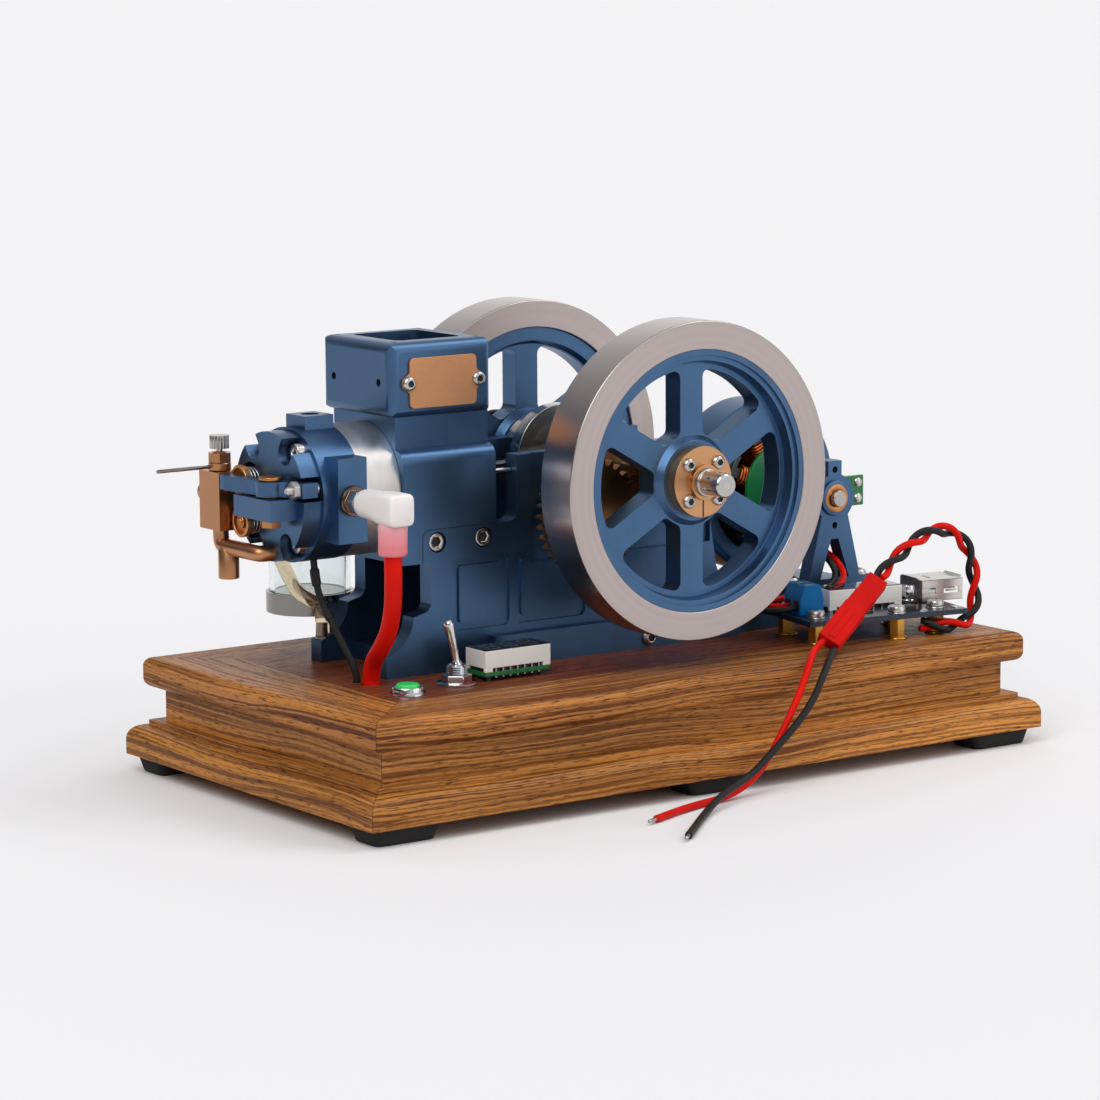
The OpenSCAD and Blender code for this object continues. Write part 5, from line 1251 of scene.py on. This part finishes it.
@dataclass
class Ignition(Assembly):
    """Plug, boot, ignition lead and sensor lead.

    Attributes:
        spark: Bends of the ignition lead.
        sensor: Bends of the sensor lead.
    """

    spark: Rows = (
        (PLUG_X, LEG_Y, 77.0), (PLUG_X, LEG_Y, 71.0), (PLUG_X, LEG_Y, 65.4), (-90.95, -33.02, 58.4), (-90, -29.3, 51.4),
        (-88.45, -23.22, 45.8), (-86.85, -16.95, 41), (-86.2, -14.4, 36), (-86.2, -14.4, 32))
    sensor: Rows = (
        (-94.5, 2, 68.3), (-94.175, 1.42, 62.4), (-93.33, -0.088, 56.4), (-91.705, -2.988, 50.4),
        (-90.015, -6.004, 44.4), (-88.585, -8.556, 39), (-88, -9.6, 35), (-88, -9.6, 32))

    def dress(self) -> None:
        """Builds the plug's washer, the boot and both leads."""
        self.soften(Palette.STEEL, 0.2, "spark_plug")
        self.keep(tube("spark_cable", smooth_path(route(self.spark), 140), 0.0025, 24), Palette.RED, "ignition_lead")
        line = smooth_path(route(self.sensor), 200)
        at = np.linspace(0, 1, len(line))
        lumps = sum(h / (1 + np.exp(40 * (np.abs(at - c) - w) / w))
                    for c, w, h in ((0.13, 0.06, 0.4), (0.42, 0.035, 0.3)))
        self.keep(tube("sensor_cable", line, (1.0 + lumps) * MM, 16), Palette.BLACK_WIRE, "sensor_lead")
        washer = [[2.55, 0], [4.15, 0], [4.35, 0.25], [4.35, 0.95], [4.15, 1.25], [2.55, 1.25], [2.55, 0]]
        self.spin("plug_washer", Palette.GASKET, mm(PLUG_X, -14.02, PLUG_Z), washer, axis=SOUTH, sides=40)
        self.boot()

    def boot(self) -> None:
        """Builds the boot: loops along the plug's axis that go from round to boxy, and a soft leg below."""
        run, wide, high, power = np.array([
            [2.6, 0.0, 0.0, 2.0], [2.6, 2.9, 2.9, 2.0], [2.2, 3.3, 3.3, 2.0], [2.0, 3.6, 3.6, 2.0],
            [2.3, 3.9, 3.9, 2.0], [3.0, 4.0, 4.0, 2.0], [6.0, 4.1, 4.15, 2.1], [9.5, 4.1, 4.3, 2.4],
            [11.5, 4.05, 4.4, 3.2], [13.0, 4.0, 4.5, 4.5], [16.0, 4.0, 4.55, 5.5], [20.2, 4.0, 4.55, 5.5],
            [20.9, 3.9, 4.4, 5.5], [21.3, 3.6, 4.1, 5.5], [21.4, 3.3, 3.8, 5.5], [21.4, 0.0, 0.0, 5.5]]).T[:, :, None]
        start = -18.0
        a = around(56)[None]
        reach = boxy(a, power)
        rows = np.stack([PLUG_X + wide * reach * np.cos(a), np.broadcast_to(start - run, reach.shape),
                         PLUG_Z + high * reach * np.sin(a)], -1)
        self.keep(skin("boot_body", route(rows)), Palette.BOOT, "plug_boot")
        leg = [[0, 11], [3.3, 11], [3.5, 9.4], [3.9, 8.7], [4.15, 8.2], [4.15, 7.2], [4.1, 6.6], [4.1, 1.2], [4.0, 0.5],
               [3.7, 0.1], [3.2, 0], [2.55, 0], [2.55, 3], [0, 3]]
        self.spin("boot_leg", Palette.LEG, mm(PLUG_X, LEG_Y, 73.4), leg, "plug_boot")


@dataclass
class CrankTrain(Assembly):
    """Piston, rod, crankshaft, gears and flywheels.

    Attributes:
        bolts: Radius of the circle that the hub screws stand on.
    """

    bolts: float = 7.35

    def dress(self) -> None:
        """Rounds the flywheels and dresses the steel and bronze."""
        self.soften(Palette.STEEL, 0.2, "piston", "connecting_rod")
        self.paint(Palette.STEEL, "rod_pins")
        self.soften(Palette.SHAFT, 0.25, "crankshaft")
        self.soften(Palette.GEAR, 0.15, "crank_gear", "cam_gear")
        self.soften(Palette.RIM, 0.4, "flywheel_rims")
        self.soften(Palette.BLUE, 0.5, "flywheel_spiders")
        self.soften(Palette.HUB, 0.3, "flywheel_hubs")
        heads = [Head((CRANK_X + a, y, CRANK_Z + b), (0, way, 0), 2.05, 1.35, 1.05, True)
                 for a, b in ring(self.bolts, 4, 45) for _, y, way in HUB_FACES]
        self.heads("wheel_screws", heads, "hub_screws", "crank")
        # A thin black sheet over each hub's clamping slit: painted shade of the slit.
        for name, face, way in HUB_FACES:
            at = mm(CRANK_X, face + way * 0.03, CRANK_Z)
            slit_shade = prism(name + "_hub_slit", rectangle(-0.2, -10.1, 0.2, -5.2), at, EAST, UP, way * -0.06)
            self.keep(slit_shade, Palette.BLACK, body="crank")


@dataclass
class Generator(Assembly):
    """Stand, stator, coils, board, bell and belt.

    Attributes:
        teeth: Teeth of the stator.
        turns: Turns in a layer of a coil.
        stand_face: Front of the stand's bearing along Y.
        board_face: Front of the round board along Y.
        red: Last bends of the red wire, at the charger board.
        black: Last bends of the black wire.
    """

    teeth: int = 9
    turns: int = 7
    stand_face: float = -11.98
    board_face: float = 12.0
    red: Rows = (
        (52.0, -21.0, 44.4), (48.2, -23.2, 44.0), (48.0, -26.6, 43.8), (50.6, -27.9, 43.7), (54.0, -28.2, 43.8))
    black: Rows = (
        (50.0, -18.6, 43.9), (45.0, -22.0, 43.4), (43.8, -28.0, 43.2), (47.4, -32.0, 43.4), (53.0, -32.8, 43.8))

    def dress(self) -> None:
        """Dresses the metal, winds the coils and runs the wires."""
        self.soften(Palette.BLUE, 0.4, "generator_stand")
        self.soften(Palette.IRON, 0.2, "generator_stator")
        self.soften(Palette.BOARD_GREEN, 0.2, "generator_board")
        self.soften(Palette.BLUE, 0.3, "generator_bell")
        self.soften(Palette.STEEL, 0.3, "generator_shaft")
        self.soften(Palette.RUBBER, 0.3, "drive_belt")
        self.keep(self.coils(), Palette.COPPER, "generator_coils")
        self.fittings()
        for (name, finish), x, y, end in zip(WIRES, (1.2, -1.4), (0.0, 1.6), (self.red, self.black)):
            line = [[ROTOR_X + x, 12.3, 59.6], [ROTOR_X + x, 10.2, 59.4], [84.3 + x, 6, 57.6], [84.6 + x, -2, 55.4],
                    [84.8 + x, -10, 52.4], [84.0 + x, -15 + y / 2, 48.6], [79.0 + x, -18.6 + y, 45.8],
                    [70 + x, -20.0 + y, 44.8], [61 + x, -20.4 + y, 44.6], *end]
            self.keep(tube(name + "_generator_wire", smooth_path(route(line), 200), 0.00095), finish)

    def fittings(self) -> None:
        """Adds the bronze bush in the stand and the solder on the round board."""
        seat = [[4.3, 0.75], [4.3, 1.0], [5.1, 1.0], [5.5, 0.8], [5.5, 0.0], [4.3, 0.0], [4.3, 0.75]]
        bush = [[2.6, 0.7], [2.6, 0.95], [2.8, 1.1], [4.15, 1.1], [4.35, 0.95], [4.35, 0.7], [2.6, 0.7]]
        for name, profile, finish in (("stand_seat", seat, Palette.BLUE), ("stand_bush", bush, Palette.BRONZE)):
            self.spin(name, finish, mm(ROTOR_X, self.stand_face, ROTOR_Z), profile, axis=SOUTH)
        dome = [[0, 0.8], [0.7, 0.7], [1.25, 0.4], [1.55, 0.02], [1.55, -0.1], [0, -0.1]]
        for k, (x, z) in enumerate(((29.2, -5.2), (29.2, -0.2), (1.2, -12.1), (-1.4, -12.1))):
            at = mm(ROTOR_X + x, self.board_face, ROTOR_Z + z)
            self.spin(f"board_solder_{k}", Palette.SOLDER, at, dome, axis=SOUTH, sides=24)

    def coils(self) -> Piece:
        """All coils as one piece: a boxy loop, wound out along each tooth and back in a second layer."""
        s = np.linspace(0, 2 * self.turns, 80 * self.turns)
        a = 2 * np.pi * s
        out = np.where(s <= self.turns, s, 2 * self.turns - s) / self.turns
        layer = 0.75 / (1 + np.exp(-(s - self.turns) * 8))
        reach = boxy(a, 5)
        one = np.stack([10.3 + 6.4 * out, 22.5 + (8.15 + layer) * np.sin(a) * reach,
                        (2.2 + layer) * np.cos(a) * reach], 1)
        x, y, z = np.moveaxis(sweep(one, *frames_along(one, EAST), 0.4, 7), -1, 0)
        made = []
        for k in range(self.teeth):
            c, q = math.cos(2 * math.pi * k / self.teeth), math.sin(2 * math.pi * k / self.teeth)
            points = route(np.stack([ROTOR_X + c * x + q * z, y, ROTOR_Z - q * x + c * z], -1))
            made.append(mesh_object(f"coil_{k}", points, closed_faces(len(one), 7)))
        return join("coil_windings", made)


@dataclass
class Switches(Assembly):
    """The lit push button and the toggle switch.

    Attributes:
        button_at: Middle of the button.
        toggle_at: Middle of the toggle.
        lean: Lean of the toggle's lever in degrees.
    """

    button_at: tuple[float, float] = (-86.2, -33.0)
    toggle_at: tuple[float, float] = (-66.9, -28.8)
    lean: float = 12.0

    def dress(self) -> None:
        """Builds both switches."""
        self.button()
        self.toggle()

    def button(self) -> None:
        """Turns the bezel and the lit cap."""
        bezel = [[0, 0], [5.1, 0], [5.2, 0.1], [5.15, 0.5], [4.7, 0.75], [4.45, 0.95], [4.4, 1.2], [4.4, 1.95],
                 [4.25, 2.15], [4.0, 2.2], [3.7, 2.1], [3.6, 1.9], [3.6, 0.45], [0, 0.45]]
        self.spin("bezel_ring", Palette.CHROME, mm(*self.button_at, DECK), bezel, "button_bezel", sides=56)
        cap = [[0, 0], [3.15, 0], [3.3, 0.15], [3.3, 0.8], [3.15, 1.1], [2.7, 1.3], [1.6, 1.38], [0, 1.4]]
        self.spin("lit_cap", Palette.LENS, mm(*self.button_at, DECK + 1.7), cap, "button_cap", body="button")

    def toggle(self) -> None:
        """Builds the washer with its red print, the nut, the threaded bush and the lever."""
        at = mm(*self.toggle_at, DECK)
        washer = [[0, 0], [5.85, 0], [6.0, 0.12], [6.0, 0.55], [5.85, 0.65], [0, 0.65]]
        self.spin("toggle_washer", Palette.CHROME, at, washer, "toggle_switch", sides=64)
        turn = arc(-116, -40, 24)
        outline = np.vstack([5.75 * turn, 4.2 * turn[::-1]])
        self.keep(prism("toggle_print", outline, at + 0.6 * MM * UP, EAST, NORTH, 0.08), Palette.PRINT)
        nut = prism("toggle_nut", ring(4.4, 6, 20), at + 0.65 * MM * UP, EAST, NORTH, 2.2, 0.3)
        self.keep(nut, Palette.CHROME)
        bush = [[0, 2.6], *ridges(2.8, 5.0, 0.5, 2.75, 3.0), [2.75, 5.3], [2.5, 5.6], [2.0, 5.6], [1.9, 5.4],
                [1.9, 3.6], [0, 3.6]]
        self.spin("toggle_bush", Palette.CHROME, at, bush)
        bat = [[0, -1.6], [0.9, -1.32], [1.45, -0.68], [1.6, 0], [1.42, 0.74], [1.08, 1.2], [1.0, 1.7], [1.12, 4.4],
               [1.4, 10.4], [1.5, 11.8], [1.4, 12.5], [1.05, 13.1], [0.55, 13.42], [0, 13.5]]
        lean = math.radians(self.lean)
        self.spin("toggle_bat", Palette.CHROME, at + 5.4 * MM * UP, bat, "toggle_lever", sides=40, body="toggle",
                  axis=np.array([-math.sin(lean), 0, math.cos(lean)]))


@dataclass
class Board(Assembly):
    """Pieces on a level face that is turned about a vertical line.

    Attributes:
        at: Place of that line.
        turn: Turn in degrees.
        top: Height of the face.
    """

    at: Sequence[float] = (0.0, 0.0)
    turn: float = 0.0
    top: float = DECK

    def corner(self, x: float, y: float) -> Array:
        """A place on the face, as X and Y of the drawing."""
        east, north = turned_axes(self.turn)
        return (x * east + y * north)[:2] + self.at

    def place(self, x: float, y: float, z: float) -> Array:
        """A point counted from the face, as metres in the shared frame."""
        return mm(*self.corner(x, y), self.top + z)

    def sheet(self, name: str, outline: Rows, z: float, height: float, bevel: float = 0.0) -> Piece:
        """A flat outline of the face, pushed up from a height z."""
        return prism(name, outline, self.place(0, 0, z), *turned_axes(self.turn), height, bevel)

    def blocks(self, name: str, finish: Palette, boxes: Sequence[Rows], *replaced: str, bevel: float = 0.0) -> None:
        """Builds blocks as one piece with rounded edges.

        Args:
            name: The piece's name.
            finish: Its finish.
            boxes: Lowest and highest corner of each block, counted from the face.
            replaced: CAD nodes that it stands for.
            bevel: Width of the rounded edges.
        """
        obj = join(name, [self.sheet(f"{name}_{k}", rectangle(*low[:2], *high[:2]), low[2], high[2] - low[2])
                          for k, (low, high) in enumerate(boxes)])
        if bevel > 0:
            round_edges(obj, bevel)
        self.keep(obj, finish, *replaced)


@dataclass
class Display(Board):
    """A small display module: case on feet, pins, dark window and three unlit digits; its corner stands on the line.

    Attributes:
        name: Start of the names of its pieces.
        size: Length, depth and height.
    """

    name: str = "display"
    size: Point = (25, 10, 6.5)

    def build(self, node: str) -> None:
        """Builds the module, which stands for a CAD node."""
        l, w, h = self.size
        feet = [((x, y, 0), (x + 2.6, y + 1.2, 1.2)) for x in (0, l - 2.6) for y in (0, w - 1.2)]
        self.blocks(self.name + "_case", Palette.WHITE, [((0, 0, 1.1), (l, w, h - 0.3)), *feet], node, bevel=0.2)
        self.blocks(self.name + "_base", Palette.BLACK, [((0.9, 1.0, 0), (l - 0.9, w - 1.0, 1.15))])
        self.blocks(self.name + "_pins", Palette.SCREW, [
            ((x, y, -0.6), (x + 0.5, y + 0.5, 1.2)) for x in np.linspace(3.6, l - 4.1, 7) for y in (0.35, w - 0.85)])
        window = ((0.2, 0.2, h - 0.32), (l - 0.2, w - 0.2, h - 0.05))
        self.blocks(self.name + "_window", Palette.GLOSS, [window], bevel=0.1)
        self.keep(self.digits(), Palette.DIGIT)

    def digits(self) -> Piece:
        """Three figures of seven bars each, flush with the window, as one piece."""
        l, w, h = self.size
        tall, wide, t = 0.62 * w, 0.36 * w, 0.07 * w
        bar = np.array([[-1, 0], [-0.8, -1], [0.8, -1], [1, 0], [0.8, 1], [-0.8, 1]])
        level = bar * [wide / 2 - t / 2, t / 2]
        upright = (bar * [tall / 4 - t / 2, t / 2])[:, ::-1] * [-1, 1]
        bars = [level + [0, v] for v in (-tall / 2, 0, tall / 2)]
        bars += [upright + [u, v] for u in (-wide / 2, wide / 2) for v in (-tall / 4, tall / 4)]
        return join(self.name + "_digits", [
            self.sheet(f"{self.name}_bar_{k}{i}", outline + [l * (0.22 + 0.28 * k), w / 2], h - 0.1, 0.08)
            for k in range(3) for i, outline in enumerate(bars)])


@dataclass
class Charger(Board):
    """The charger board with its terminal, display, socket, capacitor and posts.

    Attributes:
        posts: Places of the brass posts on the board.
    """

    at: Sequence[float] = (76.6, -34.3)
    turn: float = -10.0
    top: float = 41.6
    posts: Rows = ((-21, -9), (4.5, -12.5), (20, -9), (-21, 9), (15.6, 9.6))

    def dress(self) -> None:
        """Builds everything on the board."""
        self.soften(Palette.BOARD_BLUE, 0.2, "charger_board")
        corner = self.corner(-12.5, -2.2)
        Display(self.frame, corner, self.turn, self.top, "board_display", (25, 9.6, 6.6)).build("board_parts")
        self.terminal()
        self.socket()
        self.capacitor()
        self.stand()
        self.chips()

    def terminal(self) -> None:
        """Builds the two-pole terminal: sloped housing, wire mouths and clamp screws, with hollows in painted shade."""
        east, _ = turned_axes(self.turn)
        outline = [[-4, 0], [4, 0], [4, 4.6], [3.2, 7.6], [2.7, 9], [-2.7, 9], [-3.0, 7.6], [-4, 5.2]]
        body = prism("terminal_body", outline, self.place(-20, 5, 0), east, UP, 10, 0.25)
        self.keep(body, Palette.TERMINAL, "board_parts")
        poles = (-2.5, 2.5)
        # Black sheets on the two wire mouths and along the line between the poles: painted shade of the openings.
        self.blocks("terminal_mouths", Palette.BLACK, [
            *(((-24.04, y - 1.4, 0.9), (-23.7, y + 1.4, 4.2)) for y in poles),
            ((-22.7, -0.12, 8.9), (-17.3, 0.12, 9.03))])
        well = [[0, -0.2], [2.0, -0.2], [2.0, 0.04], [0, 0.04]]
        head = [[0, -0.1], [1.7, -0.1], [1.7, 0.05], [1.55, 0.12], [0, 0.12]]
        for k, y in enumerate(poles):
            at = self.place(-20, y, 9)
            # A black disc under each clamp screw and a black bar across it: painted shade of its well and slot.
            self.spin(f"clamp_well_shade_{k}", Palette.BLACK, at, well, sides=28)
            self.spin(f"clamp_screw_{k}", Palette.SCREW, at, head, sides=28)
            self.blocks(f"clamp_slot_{k}", Palette.BLACK, [((-21.4, y - 0.2, 9.05), (-18.6, y + 0.2, 9.14))])

    def socket(self) -> None:
        """Folds the socket's shell from sheets with spring slots and flared lips, round a white tongue."""
        east, _ = turned_axes(self.turn)
        t, back, mouth, left, right, low, high = 0.35, 19.8, 34.2, -1.5, 11.5, 0.3, 6.8
        roof = high - t
        top = [((back, left, roof), (mouth, 2.4, high)), ((back, 7.6, roof), (mouth, right, high)),
               ((back, 2.4, roof), (24.6, 7.6, high)), ((25.6, 2.7, 6.4), (mouth, 7.3, 6.7))]
        ends = [((back, left, low), (mouth, right, low + t)), ((back, left, low), (back + t, right, high))]
        strips = ((back, mouth, low, 2.5), (back, mouth, 4.3, high), (back, 22.6, 2.5, 4.3),
                  (24.6, 27.6, 2.5, 4.3), (32.6, mouth, 2.5, 4.3), (28.2, 32.0, 3.0, 3.7))
        sides = [((x0, y, z0), (x1, y + t, z1)) for y in (left, right - t) for x0, x1, z0, z1 in strips]
        self.blocks("socket_shell", Palette.SHELL, top + ends + sides, "board_parts", bevel=0.1)
        lips = []
        for k, (x0, way) in enumerate(((34.0, 1), (20.0, -1))):
            bend = np.array([[0, 6.45], [0.9 * way, 7.2], [0.7 * way, 7.4], [-0.2 * way, 6.8]])[::way]
            lips.append(prism(f"lip_{k}", bend, self.place(x0, 9.6, 0), east, UP, 9.2))
        self.keep(join("socket_lips", lips), Palette.STEEL)
        self.blocks("socket_tongue", Palette.WHITE, [((20.2, 0.2, 3.5), (32.6, 9.8, 5.1))], bevel=0.2)
        self.blocks("socket_contacts", Palette.BRASS, [
            ((22, y, 3.42), (32.2, y + 1.0, 3.55)) for y in (1.0, 3.4, 5.6, 8.0)])

    def capacitor(self) -> None:
        """Turns the silver can with its crimp and stands it on a black base."""
        self.blocks("can_base", Palette.BLACK, [((13.9, -1.4, 0), (18.7, 3.4, 0.8))], bevel=0.2)
        can = [[0, 0.7], [2.25, 0.7], [2.3, 1.1], [2.1, 1.35], [2.3, 1.6], [2.3, 5.3], [2.15, 5.6], [0, 5.6]]
        self.spin("can_body", Palette.CHROME, self.place(16.3, 1.0, 0), can, sides=40)
        self.keep(self.sheet("can_mark", [16.3, 1.0] + 2.1 * arc(100, 260, 20), 5.58, 0.05), Palette.BLACK)

    def stand(self) -> None:
        """Sets the brass posts, their feet and washers, and the domed screws on top, with black bars as painted shade
        in their crosses.
        """
        low = DECK - self.top
        foot = [[0, 0], [3.2, 0], [3.3, 0.1], [3.2, 0.4], [2.6, 0.55], [0, 0.55]]
        head = [[0, 0], [2.85, 0], [2.95, 0.1], [2.85, 0.4], [2.4, 0.45], [2.65, 0.5], [2.7, 1.5], [2.45, 2.0],
                [1.7, 2.3], [0.8, 2.4], [0, 2.4]]
        for k, (x, y) in enumerate(self.posts):
            post = self.sheet(f"post_{k}", ring(2.6, 6, 12 * k) + [x, y], low + 0.45, 5.53, 0.2)
            self.keep(post, Palette.BRASS, "board_standoffs")
            self.spin(f"post_foot_{k}", Palette.BRASS, self.place(x, y, low), foot, sides=32)
            self.spin(f"post_screw_{k}", Palette.SCREW, self.place(x, y, 0), head, sides=32)
            # Two black bars across each screw head: painted shade of its cross recess.
            self.blocks(f"post_cross_{k}", Palette.BLACK, [
                ((x - a, y - b, 2.1), (x + a, y + b, 2.42)) for a, b in ((0.95, 0.2), (0.2, 0.95))])

    def chips(self) -> None:
        """Scatters the small flat parts over the board: place, length, depth and height of each."""
        for name, finish, parts in (
                ("chips", Palette.BLACK, ((9.6, -9.4, 5, 4, 1.4), (-12, -8.4, 3.2, 4.4, 1.2), (-7.4, -6.6, 2, 1.2, 0.5),
                                          (-2.6, -8.6, 2, 1.2, 0.5), (23.8, -5.4, 2.6, 1.6, 0.9))),
                ("capacitors", Palette.CARB, ((-7.4, -9.6, 1.8, 1.0, 0.8), (-2.6, -5.8, 1.8, 1.0, 0.8),
                                              (14.6, -6.4, 1.0, 1.8, 0.8))),
                ("pads", Palette.CHROME, ((-16.5, -11.5, 2.2, 1.4, 0.12), (13.4, -12.6, 2.6, 1.6, 0.3),
                                          (25.2, -12.4, 2.2, 3.0, 0.3), (-14.8, 6, 1.4, 1.4, 0.3),
                                          (-14.8, 9, 1.4, 1.4, 0.3)))):
            self.blocks("board_" + name, finish, [
                ((x - l / 2, y - w / 2, 0), (x + l / 2, y + w / 2, h)) for x, y, l, w, h in parts])


@dataclass
class Meter(Board):
    """The voltmeter on its green board; the face is the case's foot."""

    at: Sequence[float] = (-59.6, -32.5)
    top: float = DECK + 2.7

    def dress(self) -> None:
        """Builds the module, its board and what lies below it."""
        deck = DECK - self.top
        Display(self.frame, self.at, self.turn, self.top, "meter", (22.5, 10, 6.4)).build("voltmeter")
        self.blocks("meter_board", Palette.BOARD_GREEN, [((0.2, 0.2, -1.2), (22.3, 9.8, 0))], bevel=0.1)
        legs = [((x - 0.7, y - 0.7, deck), (x + 0.7, y + 0.7, -1.1)) for x in (2, 20.5) for y in (2, 8)]
        self.blocks("meter_legs", Palette.BLACK, [*legs, ((5, 3, deck + 0.5), (17.5, 7, -1.1))])
        self.blocks("meter_solder", Palette.SCREW, [
            ((x, y, -1.75), (x + 0.6, y + 0.6, -1.1)) for x in np.linspace(3.6, 18.4, 7) for y in (0.4, 9.0)])


def main() -> None:
    """Builds the scene in order."""
    logging.basicConfig(level=logging.INFO, format="%(name)s: %(message)s")
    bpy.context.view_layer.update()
    build_grain()
    build_turning()
    build_mottle()
    Studio().build()
    OutputLeads(frame).build()
    for part in (Plinth, EngineFrame, Cylinder, ValveGear, Fuel, Ignition, CrankTrain, Generator, Switches, Meter,
                 Charger):
        part(frame).dress()
        LOG.info("dressed %s", part.__name__)


if __name__ == "__main__":
    main()
